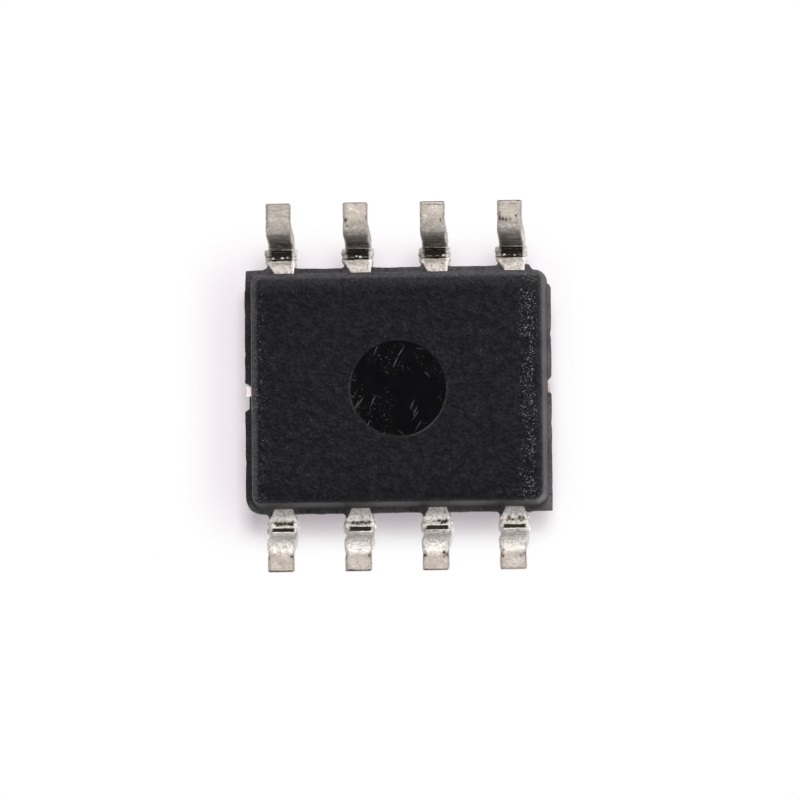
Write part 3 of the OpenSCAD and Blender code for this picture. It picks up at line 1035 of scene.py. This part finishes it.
@dataclass
class Moulding:
    """The resin moulding: two drafted halves, the ragged parting band and the resin webs."""

    resin: bpy.types.Material
    pressed: bpy.types.Material
    body_l: float = 4.90
    body_w: float = 3.90
    draft: float = math.radians(6.0)
    edge_r: float = 0.10
    corner_r: float = 0.21
    lower_z: float = 0.15
    ledge_z: float = 0.755
    shelf_z: float = 0.945
    top_z: float = 1.60
    # how far the lower half has slipped to -X against the upper one
    slip: float = 0.024
    band: float = 0.0755
    # what is left of the band in the notches and where the leads come out
    least_band: float = 0.005
    # the resin webs on the leads' +X side: how far they stand out, and over what width they fall away
    web_tip: float = 0.168
    web_reach: float = 0.085
    # how far to either side of a lead the outline needs fine steps
    web_span: Pair = (0.32, 0.28)
    recess: Pocket = Pocket((-0.044, -0.036), 0.79, 0.04, -1)
    dimple: Pocket = Pocket((-1.73, -1.23), 0.30, 0.05, 1)
    # the band swells by this much towards each lead, from this far off
    swell: float = 0.014
    swell_half: float = 0.52
    # how sharp each corner of the band is, and how far the band stands out there, from the
    # corner at +X, +Y anticlockwise
    corner_sharp: tuple[float, ...] = (0.85, 0.0, 0.95, 0.10)
    corner_band: tuple[float, ...] = (0.062, 0.004, 0.074, 0.074)
    # steps up the band's edge: how far its rounding draws in, and the share of its height
    band_steps: tuple[Pair, ...] = (
        (1.0, 0.0), (0.3, 0.03), (0.0, 0.09), (0.0, 0.5), (0.0, 0.91), (0.3, 0.97), (1.0, 1.0),
    )
    # painted light on the drafted walls and on the ledge that look to -X and to -Y
    wall_light: Pair = (0.98, 0.50)
    ledge_light: Pair = (1.05, 0.40)
    # lighter grey painted over the whole ledge, and what its long sides have besides
    ledge_grey: Pair = (0.26, 0.58)
    # where the recess's rim carries the most painted highlight, in degrees from +X
    highlight_turn: float = 218.0
    crease: float = 50.0
    corner_steps: int = 26
    edge_steps: int = 6
    wall_steps: int = 5
    notches: tuple[Notch, ...] = (
        Notch(0, (-0.34, 0.15), (-0.28, 0.11)),
        Notch(2, (-0.10, 0.20), (-0.045, 0.096)),
    )
    nicks: tuple[Nick, ...] = (
        Nick(0, 1.905, 0.05, 0.004), Nick(0, 0.62, 0.05, -0.012), Nick(0, -1.18, 0.09, -0.010),
        Nick(1, 2.405, 0.06, -0.022), Nick(1, -2.19, 0.20, 0.014), Nick(1, -2.30, 0.06, 0.020),
        Nick(2, 1.86, 0.03, -0.02), Nick(2, 0.9, 0.08, -0.012), Nick(2, -0.55, 0.12, -0.009),
        Nick(3, -2.318, 0.06, -0.018), Nick(3, -2.14, 0.05, 0.014), Nick(3, 1.28, 0.10, 0.010),
    )

    def __post_init__(self) -> None:
        """Reads where the leads are and samples the outline."""
        self.edge_reach = self.edge_r / math.tan((math.pi / 2 + self.draft) / 2)
        self.leads = sorted({round(sole[0], 4) for sole in sole_mounts().values()})
        self._sample_outline()

    def _sample_outline(self) -> None:
        """Samples the outline anticlockwise, as core points, outward normals and places."""
        cx, cy = self.body_l / 2 - self.corner_r, self.body_w / 2 - self.corner_r
        axes = [(cx, -cy), (cx, cy), (-cx, cy), (-cx, -cy)]
        webs = [(x - self.web_span[0], x + self.web_span[1]) for x in self.leads]
        ends = [(y - 0.05, y + 0.05) for n in self.notches for y in (*n.mouth, *n.floor)]
        rows: list[tuple[float, ...]] = []
        for side, start in enumerate(axes):
            end, across = axes[(side + 1) % 4], side % 2
            normal = (math.cos(side * math.pi / 2), math.sin(side * math.pi / 2))
            for place in spaced(start[1 - across], end[1 - across], webs if across else ends):
                core = (place, start[1]) if across else (start[0], place)
                rows.append((*core, *normal, side, place))
            for k in range(self.corner_steps):
                angle = (side + k / self.corner_steps) * math.pi / 2
                rows.append((*end, math.cos(angle), math.sin(angle), 4 + side, k / self.corner_steps))
        table = np.array(rows)
        self.core, self.normal = table[:, :2], table[:, 2:4]
        self.side, self.place = table[:, 4].astype(int), table[:, 5]
        edge = self.core + self.normal * self.corner_r
        steps = np.linalg.norm(np.diff(edge, axis=0, append=edge[:1]), axis=1)
        self.run = np.concatenate([[0.0], np.cumsum(steps)[:-1]])

    def _ragged(self, seed: int, size: float) -> Array:
        """Unevenness round the outline: slow waves with finer ones on them.

        Args:
            seed: Seed of the noise.
            size: Height of the slow waves.

        Returns:
            Their height round the outline.
        """
        last = self.run[-1]
        fade = np.minimum(smooth(self.run, 0.0, 0.3), smooth(self.run, last, last - 0.3))
        waves = Grain(seed, 0.21)(self.run) + 0.55 * Grain(seed + 1, 0.07)(self.run)
        return fade * size * (waves + 0.35 * Grain(seed + 2, 0.028)(self.run))

    def _row_reach(self, side: int) -> Array:
        """How far the band and its webs stand out along one row of leads.

        Args:
            side: 1 for the side towards +Y, 3 for the one towards -Y.

        Returns:
            The reach at each place of that side.
        """
        x = self.place[self.side == side]
        reach = np.full(len(x), self.band)
        for lead in self.leads:
            reach += self.swell * np.clip(1.0 - np.abs(x - lead) / self.swell_half, 0.0, 1.0) ** 1.5
        left, right = ROWS[2.0 - side].exit_half
        for k, lead in enumerate(self.leads):
            q = x - lead
            web = np.clip((q - right - 0.040) / self.web_reach, 0.0, 1.0)
            tip = self.web_tip * (1.0 + 0.05 * math.sin(2.3 * k + side))
            reach = np.where(q > right - 0.03, reach + (tip - reach) * (1.0 - web) ** 2.2, reach)
            lip = np.clip((-q - left) / 0.05, 0.0, 1.0)
            reach = np.where(q < -left + 0.03, reach + 0.012 * (1.0 - lip) ** 2, reach)
            inside = smooth(q, -left + 0.012, -left + 0.03) * smooth(q, right - 0.012, right - 0.03)
            reach = reach + (self.least_band - reach) * inside
        return reach

    def band_reach(self) -> Array:
        """How far the band and its webs stand out of the side faces.

        Returns:
            The reach round the outline.
        """
        out = np.full(len(self.side), self.band)
        for side in (1, 3):
            out[self.side == side] = self._row_reach(side)
        for corner, reach in enumerate(self.corner_band):
            out[self.side == 4 + corner] = reach
            for side, end in ((corner, -1), ((corner + 1) % 4, 0)):
                on = self.side == side
                near = smooth(np.abs(self.place[on] - self.place[on][end]), 0.06, 0.0)
                out[on] += (reach - out[on]) * near
        for nick in self.nicks:
            on = self.side == nick.side
            out[on] += nick.out * bell(self.place[on], nick.at, nick.wide)
        out += self._ragged(11, 0.0034)
        for notch in self.notches:
            on = self.side == notch.side
            y = self.place[on] + 0.006 * Grain(5, 0.05)(self.place[on])
            cut = smooth(y, notch.mouth[0], notch.floor[0]) * smooth(y, notch.mouth[1], notch.floor[1])
            out[on] += (self.least_band - out[on]) * cut
        limit = np.where(np.isin(self.side, (1, 3)), self.web_tip * 1.06, self.band + 0.0022)
        out = np.clip(out, self.least_band, limit)
        square = np.zeros(len(out))
        for corner, sharp in enumerate(self.corner_sharp):
            here = self.side == 4 + corner
            fill = 1.0 / np.abs(self.normal[here]).max(1) - 1.0
            square[here] = sharp * (self.corner_r + out[here]) * fill
        return out + square

    def _ring(self, out: Array | float, z: Array | float, slip: float = 0.0) -> Array:
        """One ring round the body.

        Args:
            out: How far it stands out of the parting-line size, negative for inside.
            z: Its height.
            slip: How far it is shifted to -X.

        Returns:
            Its points.
        """
        reach = (self.corner_r + np.broadcast_to(out, self.side.shape))[:, None]
        plan = self.core + self.normal * reach - np.array([slip, 0.0])
        return np.column_stack([plan, np.broadcast_to(z, self.side.shape)])

    def _half(self, height: float) -> list[Pair]:
        """Side of one moulding half, from its flat face to the band.

        Args:
            height: Height of the half.

        Returns:
            Steps of (distance out, height above the band), from the flat face's inner
            border ring to the start of the band.
        """
        flat = -height * math.tan(self.draft) - self.edge_reach
        steps = [(flat - 0.02, height)]
        for k in range(self.edge_steps + 1):
            angle = (math.pi / 2 - self.draft) * (1.0 - k / self.edge_steps) + self.draft
            rise = self.edge_r * (1.0 - math.sin(angle))
            steps.append((flat + self.edge_r * math.cos(angle), height - rise))
        top = steps[-1][1]
        for k in range(1, self.wall_steps + 1):
            z = top * (1.0 - k / self.wall_steps)
            steps.append((-z * math.tan(self.draft), z))
        return steps

    def _painted_grey(self, rings: int) -> Array:
        """How much the resin is painted lighter grey: painted highlights along its edges and round the
        recess's rim, painted light down its walls and on its ledge.

        Args:
            rings: Number of rings up the moulding.

        Returns:
            That painted grey from 0 to 1, ring after ring, then ring after ring of the recess.
        """
        along_x, along_y = np.abs(self.normal[:, 0]), np.abs(self.normal[:, 1])
        minus_x, minus_y = (smooth(-self.normal[:, axis], 0.3, 0.9) for axis in (0, 1))
        wall = self.wall_light[0] * minus_x + self.wall_light[1] * minus_y
        ledge = self.ledge_grey[0] + self.ledge_grey[1] * along_y
        ledge = ledge + self.ledge_light[0] * minus_x + self.ledge_light[1] * minus_y
        patchy = 0.5 + 0.5 * Grain(61, 0.30)(self.run)
        facing = smooth(-self.normal.sum(1), -0.2, 0.8)
        edge = (0.54 + 0.22 * patchy + 0.16 * along_x) * (1.0 - 0.85 * facing)
        band = self.edge_steps + 2 + self.wall_steps
        wear_and_light = np.zeros((rings, len(self.side)))
        for k in range(1, self.edge_steps + 2):
            wear_and_light[k] = math.sin(math.pi * (k - 0.5) / (self.edge_steps + 1)) * edge
        for k in range(self.edge_steps - 3, band):
            share = min(1.0, 0.15 + 0.28 * (k - self.edge_steps + 3))
            wear_and_light[k] = np.maximum(wear_and_light[k], wall * share * (0.7 + 0.5 * patchy))
        wear_and_light[-self.edge_steps - self.wall_steps - 2:-self.edge_steps] = 0.40 * wall * (0.7 + 0.5 * patchy)
        wear_and_light[band - 1:band + 4] = ledge * (0.6 + 0.6 * patchy)
        turn = self.recess.angles()
        rim_highlight = 0.55 * smooth(np.cos(turn - math.radians(self.highlight_turn)), 0.55, 0.95)
        rim_highlight = rim_highlight + 0.30 * smooth(np.cos(turn), 0.8, 1.0)
        recess = np.zeros((len(self.recess.steps()), len(turn)))
        recess[1:4] = 0.10 + rim_highlight * (0.9 + 0.4 * Grain(62, 0.5)(turn))
        return np.concatenate([wear_and_light.ravel(), recess.ravel()])

    def _rings(self) -> list[Array]:
        """The moulding's rings, from the border of its bottom face up to that of its top face.

        Returns:
            The points of each ring.
        """
        out, edge, wall = self.band_reach(), self._ragged(71, 0.0022), self._ragged(91, 0.0016)
        rings: list[Array] = []
        for k, (step, rise) in enumerate(self._half(self.ledge_z - self.lower_z)):
            rings.append(self._ring(step + wall * min(1.0, 0.35 * k), self.ledge_z - rise, self.slip))
        ledge = self.ledge_z + 0.0015 * Grain(41, 0.09)(self.run)
        for share in (0.25, 0.62):
            rings.append(self._ring(out * share, ledge, self.slip * (1.0 - share)))
        soft, tall = np.minimum(0.010, out * 0.4), self.shelf_z - self.ledge_z
        for back, share in self.band_steps:
            rings.append(self._ring(out + edge * (share - 0.5) - soft * back, ledge + tall * share))
        rings.append(self._ring(out * 0.5, self.shelf_z))
        upper = self._half(self.top_z - self.shelf_z)[::-1]
        for k, (step, rise) in enumerate(upper):
            shake = wall[::-1] * min(1.0, 0.35 * (len(upper) - 1 - k))
            rings.append(self._ring(step + shake, self.shelf_z + rise))
        return rings

    def build(self) -> bpy.types.Object:
        """Builds the moulding.

        Returns:
            The piece.
        """
        mesh = PieceMesh()
        ids = [mesh.put(ring) for ring in self._rings()]
        mesh.skin(ids)
        recess, dimple = self.recess.build(mesh, self.lower_z), self.dimple.build(mesh, self.top_z)
        mesh.plate(ids[0], recess, -1)
        mesh.plate(ids[-1], dimple, 1)
        painted_highlight = {"painted_highlight": self._painted_grey(len(ids))}
        piece = mesh.build("resin_moulding", [self.resin, self.pressed], self.crease, painted_highlight)
        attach(piece, BODY)
        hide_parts("mould_body")
        return piece


@dataclass
class Lead:
    """One formed lead, from its bond head inside the resin to its foot."""

    number: int
    tin: bpy.types.Material
    copper: bpy.types.Material
    body_half: float = 1.95
    leg_half: float = 0.214
    foot_half: float = 0.203
    # how round the strip's edges are: underneath towards -X and +X, on top, and at the toe
    under_r: Pair = (0.045, 0.065)
    upper_r: float = 0.018
    toe_r: float = 0.012
    crease: float = 42.0
    # edges of the finger inside the resin: distances across the package, and half-widths there
    finger_mid: Edge = ((1.56, 1.75), (0.28, 0.195))
    finger_in: Edge = ((1.38, 1.75), (0.505, 0.195))
    finger_out: Edge = ((0.84, 1.20, 1.75), (-0.145, 0.195, 0.195))
    # added to places across the lead, so that noise is read above 0
    grain_shift: float = 9.0

    def __post_init__(self) -> None:
        """Reads from the frame where the lead stands and which way it faces."""
        self.x, y, _ = sole_mounts()[self.number]
        self.way = math.copysign(1.0, y)
        low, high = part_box(f"lead_{self.number}")
        head_y, toe_y = sorted(abs(v) / MM for v in (low.y, high.y))
        self.corner = self.number in (1, 4, 5, 8)
        self.strip = Strip(head_y=head_y, toe_y=toe_y)
        self.seed = 100 * self.number
        self.row, self.own = ROWS[self.way], LEADS[self.number]
        self.wear_and_light = self.row.wear_and_light + self.own.wear_and_light

    def _rows(self) -> Array:
        """Places of the lead's rings, close together where it bends.

        Returns:
            Their ways along the strip.
        """
        bend, leg, heel, foot, toe = self.strip.stations
        root = self.body_half - 0.03 - self.strip.head_y
        spans = [
            (0.0, root, 0.06), (root, bend - 0.04, 0.012), (bend - 0.04, leg + 0.03, 0.0068),
            (leg + 0.03, heel, 0.014), (heel, foot + 0.04, 0.010), (foot + 0.04, toe - 0.03, 0.012),
            (toe - 0.03, toe, 0.005),
        ]
        parts = []
        for start, end, step in spans:
            parts.append(np.linspace(start, end, max(2, round((end - start) / step)), endpoint=False))
        return np.concatenate([*parts, [toe]])

    def _halves(self, t: Array) -> list[Array]:
        """Half-widths of the strip towards -X and +X.

        Args:
            t: Ways along the strip.

        Returns:
            The two half-widths.
        """
        bend, leg, heel, foot, _ = self.strip.stations
        y, row = self.strip.head_y + t, self.row
        ear_in, ear_out = bend - 0.035, bend + 0.150
        sides = []
        for k, (way, exit_half, ear_half) in enumerate(zip((-1.0, 1.0), row.exit_half, row.ear_half)):
            leg_half, foot_half = self.leg_half + row.leg_more[k], self.foot_half + row.foot_more[k]
            chew = 0.006 * Grain(self.seed + 3 + k, 0.045)(t)
            wide = np.interp(y, [self.body_half, self.strip.head_y + ear_in], [exit_half, ear_half])
            inner = self._finger(y, way)
            wide = np.where(y < self.body_half, inner + (exit_half - inner) * smooth(y, 1.70, 1.93), wide)
            wide = np.where(t > ear_in, ear_half + 0.008 * smooth(t, bend, ear_out) + 1.6 * chew, wide)
            wide = wide + (leg_half - wide) * smooth(t, ear_out, ear_out + 0.022)
            wide = wide + (foot_half - leg_half) * smooth(t, heel, foot)
            dent = row.heel_dent * bell(t, foot + 0.01 - 0.02 * k, 0.055)
            wide = wide - np.where(t > leg, dent, 0.0)
            sides.append(wide + np.where(y > self.body_half, 0.35 * chew, 0.0))
        return sides

    def _finger(self, y: Array, way: float) -> Array:
        """Half-width of the finger and the bond head inside the resin.

        Args:
            y: Distance across the package.
            way: -1 for the side towards -X, 1 for +X.

        Returns:
            The half-width on that side.
        """
        if not self.corner:
            return np.interp(y, *self.finger_mid)
        return np.interp(y, *(self.finger_in if way * self.x < 0 else self.finger_out))

    def _section(self, left: float, right: float) -> tuple[Array, Array]:
        """One cross-section: a rounded corner and then a straight run, four times.

        Args:
            left: Half-width towards -X.
            right: Half-width towards +X.

        Returns:
            Points as (across, towards the underside), and their outward normals.
        """
        half, top_r, (low_l, low_r) = self.strip.thick / 2, self.upper_r, self.under_r
        # each corner's axis, radius and first angle, its steps, and the steps of the run after it
        corners = [
            (right - low_r, half - low_r, low_r, 90.0, 7, 4),
            (right - top_r, top_r - half, top_r, 0.0, 3, 16),
            (top_r - left, top_r - half, top_r, -90.0, 3, 4),
            (low_l - left, half - low_l, low_l, 180.0, 7, 34),
        ]
        rounds = []
        for x, y, r, start, steps, _ in corners:
            angle = np.radians(start - 90.0 * np.arange(steps + 1) / steps)
            normal = np.column_stack([np.cos(angle), np.sin(angle)])
            rounds.append(((x, y) + r * normal, normal))
        points, normals = [], []
        for k, (bent, normal) in enumerate(rounds):
            ahead, steps = rounds[(k + 1) % len(rounds)][0][0], corners[k][-1]
            share = np.arange(1, steps)[:, None] / steps
            points += [bent, bent[-1] + (ahead - bent[-1]) * share]
            normals += [normal, np.broadcast_to(normal[-1], (steps - 1, 2))]
        return np.vstack(points), np.vstack(normals)

    def _relief(self, a: Array, t: Array, under: Array) -> Array:
        """Small unevenness of the skin: wrinkles of the bend, the tool's marks, and dents.

        Args:
            a: Place across the strip.
            t: Way along it.
            under: How much each point faces the underside, from 0 to 1.

        Returns:
            How far each point stands out.
        """
        bend, leg, heel, _, toe = self.strip.stations
        drift = self._drift(a, t)
        mottle = 0.0016 * self._grain(10, 0.05, a, t) + 0.0012 * self._grain(11, 0.022, a, t)
        in_bend = smooth(t, bend - 0.02, bend + 0.03) * smooth(t, leg + 0.06, leg - 0.04)
        wrinkle = 0.0034 * Grain(self.seed + 13, 0.034)(drift, a * 0.22 + 5.0) * in_bend
        lip = -0.010 * bell(drift, 0.006, 0.022)
        marks = sum((mark.rise * mark.cover(a, drift) for mark in self.wear_and_light), np.zeros_like(a))
        sole = smooth(t, heel + 0.10, heel + 0.20)
        press = 0.004 * self._grain(14, 0.11, a, t) * sole
        seam = self.own.seam * bell(a + 0.03 * np.sin(t * 9.0), 0.01, 0.014) * sole
        burr = -0.010 * smooth(t, toe - 0.022, toe)
        return mottle + under * (wrinkle + lip + marks + press + seam + burr)

    def _grain(self, layer: int, pitch: float, a: Array, t: Array) -> Array:
        """Noise of the lead's skin, where each layer has a seed of its own."""
        return Grain(self.seed + layer, pitch)(a + self.grain_shift, t)

    def _drift(self, a: Array, t: Array) -> Array:
        """Way along from the upper bend, shaken a little so that stripes run unevenly."""
        shake = 0.010 * self._grain(12, 0.16, a, t) + 0.006 * self._grain(20, 0.035, a, t)
        return t - self.strip.stations[0] + shake

    def _tarnish_and_light(self, a: Array, t: Array, under: Array) -> Array:
        """How dark the plate is in the upper bend, down the leg, in the heel and at the cut toe, as tarnish
        and painted shade, and where painted highlights and painted light brighten it.

        Args:
            a: Place across the strip.
            t: Way along it.
            under: How much each point faces the underside.

        Returns:
            Tarnish and painted shade from 0 to 1, or down to -1 where painted light brightens the plate.
        """
        bend, leg, _, foot, toe = self.strip.stations
        row, own, drift, across = self.row, self.own, self._drift(a, t), np.abs(a)
        dark, highlight_marks = np.zeros_like(a), np.zeros_like(a)
        # marks darken the plate as tarnish with painted shade, or brighten it as painted highlights
        for mark in self.wear_and_light:
            part = mark.dark * mark.cover(a, drift)
            dark, highlight_marks = np.maximum(dark, part), np.maximum(highlight_marks, -part)
        # the leg, darkest by the bend, as tarnish with painted shade, and painted shade on the shoulder's
        # last stretch
        shin = row.shin_tarnish_and_shade * smooth(drift, 0.272, 0.290) * smooth(t, foot + 0.03, leg - 0.04) ** 0.9
        dark = np.maximum(dark, shin * (0.86 + 0.14 * Grain(self.seed + 21, 0.03)(t, a * 0.2)))
        dark = np.maximum(dark, row.shoulder_painted_shade * smooth(drift, -0.16, -0.03) * smooth(drift, 0.03, 0.0))
        # the dam-bar stubs and the leg's sides: painted highlights along their edges, and painted shade
        # towards +X
        middle = smooth(across, self.leg_half - 0.010, self.leg_half - 0.060)
        edge = (1.0 - middle) * smooth(drift, 0.34, 0.24)
        shaded = smooth(a, 0.0, 0.1) * row.ear_painted_shade
        dark = dark * middle * (1.0 - np.clip(highlight_marks, 0.0, 1.0)) + edge * shaded * smooth(drift, -0.06, 0.0)
        # the toe's cut edge, the line beside it, a painted shade line for the crease arc where the sole
        # starts, and painted shade in the heel's dents
        way = drift + bend
        cut = own.cut_dark * smooth(way, toe - 0.024, toe - 0.012)
        cut = cut + own.line_dark * bell(way, toe - 0.062, 0.014)
        cut = cut + own.arc_dark * bell(way, foot - 0.03 + 0.060 * (a / self.foot_half) ** 2, 0.018)
        pinch = bell(t, foot + 0.015, 0.06) * smooth(across, self.foot_half - 0.050, self.foot_half - 0.012)
        dark = np.clip((dark + cut) * under + 0.8 * row.dent_painted_shade * pinch, 0.0, 1.0)
        dark = np.maximum(dark, own.sole_dark * smooth(t, foot - 0.05, foot + 0.05) * under)
        # painted highlights on the bright marks and along the edges, and painted light on the shoulder and
        # down the leg
        painted_bright = highlight_marks + edge * (1.0 - 1.8 * shaded) + row.shoulder_painted_light * smooth(drift, 0.02, -0.03)
        painted_bright = painted_bright + row.shin_painted_light * smooth(drift, 0.24, 0.30) * smooth(t, foot + 0.02, foot - 0.06)
        painted_bright = painted_bright * (0.85 + 0.35 * self._grain(22, 0.028, a, t))
        return np.clip(dark - np.clip(painted_bright, 0.0, 1.0) * (1.0 - dark), -1.0, 1.0)

    def build(self) -> bpy.types.Object:
        """Builds the lead.

        Returns:
            The piece.
        """
        mesh, t = PieceMesh(), self._rows()
        left, right = self._halves(t)
        y, z, slope = self.strip.read(t)
        rings, marks = [], []
        for k, way in enumerate(t):
            close, free = max(0.0, self.toe_r - (t[-1] - way)), y[k] > self.body_half
            section, normal = self._section(left[k] - close, right[k] - close)
            a, b = section[:, 0], section[:, 1] * (1.0 - close / (self.strip.thick / 2))
            along, under = np.full_like(a, way), np.clip(normal[:, 1], 0.0, 1.0)
            out = self._relief(a, along, under) * free
            marks.append(self._tarnish_and_light(a, along, under) * free)
            a, b = a + normal[:, 0] * out, b + normal[:, 1] * out
            ring_y, ring_z = y[k] - b * math.sin(slope[k]), z[k] - b * math.cos(slope[k])
            rings.append(mesh.put(np.column_stack([self.x + a, self.way * ring_y, np.maximum(ring_z, 0.0)])))
        turn = -1 if self.way > 0 else 1
        mesh.skin([ring[::turn] for ring in rings])
        every = np.vstack(mesh.points)
        for ring, end in ((rings[0], -1), (rings[-1], 1)):
            mesh.fan(ring, every[ring].mean(0, keepdims=True), turn * end, 1)
        tarnish_and_painted_light = {"tarnish_and_painted_light": np.concatenate(marks)}
        piece = mesh.build(f"formed_lead_{self.number}", [self.tin, self.copper], self.crease, tarnish_and_painted_light)
        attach(piece, BODY)
        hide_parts(f"lead_{self.number}")
        return piece


@dataclass
class Inside:
    """The sealed pieces, which keep their shapes and get their finishes."""

    copper: bpy.types.Material

    def dress(self) -> None:
        """Gives each sealed piece its finish."""
        chosen = {
            "die_pad": self.copper,
            "die_attach": Inner.SILVER_EPOXY.value.build(),
            "silicon_die": Inner.SILICON.value.build(),
        }
        gold = Inner.GOLD.value.build()
        chosen.update({f"bond_wire_{n}": gold for n in range(1, LEAD_COUNT + 1)})
        for name, material in chosen.items():
            node = frame["nodes"][name]
            node.data.materials.clear()
            node.data.materials.append(material)
            LOG.info("%s: %s", name, material.name)


# ---- studio ----

@dataclass(frozen=True)
class Lamp:
    """A soft square lamp that looks at the chip. Its place and its side are in metres."""

    name: str
    at: Triple
    size: float
    level: float
    """Brightness that it alone gives a white surface that faces it."""

    def build(self) -> None:
        """Adds the lamp."""
        data = bpy.data.lights.new(self.name, "AREA")
        data.size = self.size
        place = Vector(self.at)
        data.energy = self.level * (math.pi * place.length) ** 2
        lamp = add_object(self.name, data)
        lamp.location = place
        lamp.rotation_mode = "QUATERNION"
        lamp.rotation_quaternion = place.to_track_quat("Z", "Y")
        lamp.visible_camera = False


@dataclass
class Studio:
    """Pale floor and backdrop, soft lamps, white surroundings and the camera."""

    floor_tone: Colour = (0.80, 0.80, 0.80)
    floor_lift: Colour = (0.296, 0.250, 0.282)
    # the paint holds over this box round the chip, moved by this much, and fades out past it
    core_half: Triple = (2.3, 1.7, 100.0)
    core_shift: Triple = (-0.35, -0.08, 0.0)
    fade_span: Pair = (0.35, 1.1)
    sheet_half: float = 300.0
    sheet_gap: float = 0.01
    ambient: float = 0.17
    # how bright the opening that the camera looks through is in reflections
    opening_level: float = 0.10
    # the camera: its distance, the width that it sees, its sensor and where it looks, in millimetres,
    # its near and far limits in metres, and its lean and roll in degrees
    distance: float = 165.0
    field: float = 13.17
    sensor: float = 36.0
    clip: Pair = (0.01, 5.0)
    lean_y: float = 5.0
    lean_x: float = 4.0
    roll: float = -0.50
    aim: Triple = (-0.033, -0.1725, 0.75)
    lamps: tuple[Lamp, ...] = (
        Lamp("key_below", (-0.04, 0.21, -0.44), 0.18, 0.62),
        Lamp("side_below", (-0.32, 0.04, -0.38), 0.44, 0.25),
        Lamp("fill_below", (0.20, -0.20, -0.44), 0.40, 0.06),
        Lamp("key_above", (-0.26, -0.24, 0.40), 0.34, 0.58),
        Lamp("fill_above", (0.34, 0.12, 0.36), 0.50, 0.12),
    )

    def _sheet(self, name: str, z: float, looks_up: bool) -> None:
        """Makes a pale sheet that only the camera sees, and only from its face.

        Args:
            name: Its name.
            z: Its height in millimetres.
            looks_up: Whether its face looks to +Z.
        """
        signs = ((-1, -1), (1, -1), (1, 1), (-1, 1))
        corners = [Vector((i * self.sheet_half, j * self.sheet_half, z)) * MM for i, j in signs]
        mesh = bpy.data.meshes.new(name)
        mesh.from_pydata(corners, [], [(0, 1, 2, 3)[:: 1 if looks_up else -1]])
        sheet = add_object(name, mesh)
        sheet.visible_diffuse = sheet.visible_glossy = sheet.visible_transmission = False
        sheet.visible_shadow = False
        mesh.materials.append(self._sheet_paint(name))
        sheet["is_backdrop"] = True

    def _sheet_paint(self, name: str) -> bpy.types.Material:
        """Pale paint that takes the chip's soft shadow and fades into the white surroundings.

        Args:
            name: The material's name.

        Returns:
            The material.
        """
        material = bpy.data.materials.new(name)
        g = Graph(material)
        paint = g.add("ShaderNodeBsdfDiffuse", None, {"Color": (*self.floor_tone, 1.0)})
        lift = g.add("ShaderNodeEmission", None, {"Color": (*self.floor_lift, 1.0), "Strength": 1.0})
        lit = g.add("ShaderNodeAddShader", None, {0: paint, 1: lift})
        clear = g.add("ShaderNodeBsdfTransparent")
        past = g.vector("ABSOLUTE", g.vector("ADD", g.place(), self.core_shift))
        past = g.vector("MAXIMUM", g.vector("SUBTRACT", past, self.core_half), (0.0, 0.0, 0.0))
        fade = g.vector("LENGTH", past, output="Value").eased(*self.fade_span)
        behind = g.add("ShaderNodeNewGeometry", output="Backfacing")
        share = behind.maths("MAXIMUM", behind, fade)
        g.finish(g.add("ShaderNodeMixShader", None, {0: share, 1: lit, 2: clear}))
        return material

    def _world(self) -> None:
        """White surroundings for the camera and for reflections, softer as plain light."""
        world = bpy.data.worlds.new("surroundings")
        bpy.context.scene.world = world
        g = Graph(world)
        opening = g.axis(g.add("ShaderNodeTexCoord", output="Generated"), "Z").eased(-0.90, -0.99)
        mirror = 1.0 - opening * (1.0 - self.opening_level)
        rays = ("Camera", "Glossy", "Transmission")
        seen, glossy, through = (g.add("ShaderNodeLightPath", output=f"Is {ray} Ray") for ray in rays)
        plain = (seen + through).held()
        strength = self.ambient * (1.0 - plain) * (1.0 - glossy) + plain + glossy * (1.0 - plain) * mirror
        white = g.add("ShaderNodeBackground", None, {"Color": (1.0, 1.0, 1.0, 1.0), "Strength": strength})
        g.finish(white, "ShaderNodeOutputWorld")

    def _camera(self) -> None:
        """Adds the camera, which looks at the underside from close to straight below."""
        data = bpy.data.cameras.new("view_from_below")
        data.sensor_width = self.sensor
        data.lens = self.sensor * self.distance / self.field
        data.clip_start, data.clip_end = self.clip
        camera = add_object("view_from_below", data)
        lean = (-math.tan(math.radians(angle)) for angle in (self.lean_x, self.lean_y))
        line = Vector((*lean, -1.0)).normalized()
        up = (Vector((0.0, 1.0, 0.0)) - line * line.y).normalized()
        right = up.cross(line).normalized()
        basis = Matrix((right, up, line)).transposed().to_4x4()
        basis = basis @ Matrix.Rotation(math.radians(self.roll), 4, "Z")
        camera.matrix_world = Matrix.Translation((Vector(self.aim) + line * self.distance) * MM) @ basis
        bpy.context.scene.camera = camera

    def build(self) -> None:
        """Builds the studio."""
        low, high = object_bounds()
        self._sheet("floor", low.z / MM - self.sheet_gap, True)
        self._sheet("backdrop", high.z / MM + self.sheet_gap, False)
        self._world()
        for lamp in self.lamps:
            lamp.build()
        self._camera()
        bpy.context.scene.view_settings.view_transform = "Standard"


def main() -> None:
    logging.basicConfig(level=logging.INFO, format="%(name)s: %(message)s")
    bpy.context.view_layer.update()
    tin, copper = TinPlate().build(), CutCopper().build()
    Studio().build()
    Moulding(GrainedResin().build(), PressedResin().build()).build()
    for number in range(1, LEAD_COUNT + 1):
        Lead(number, tin, copper).build()
    Inside(copper).dress()
    bpy.context.view_layer.update()


if __name__ == "__main__":
    main()
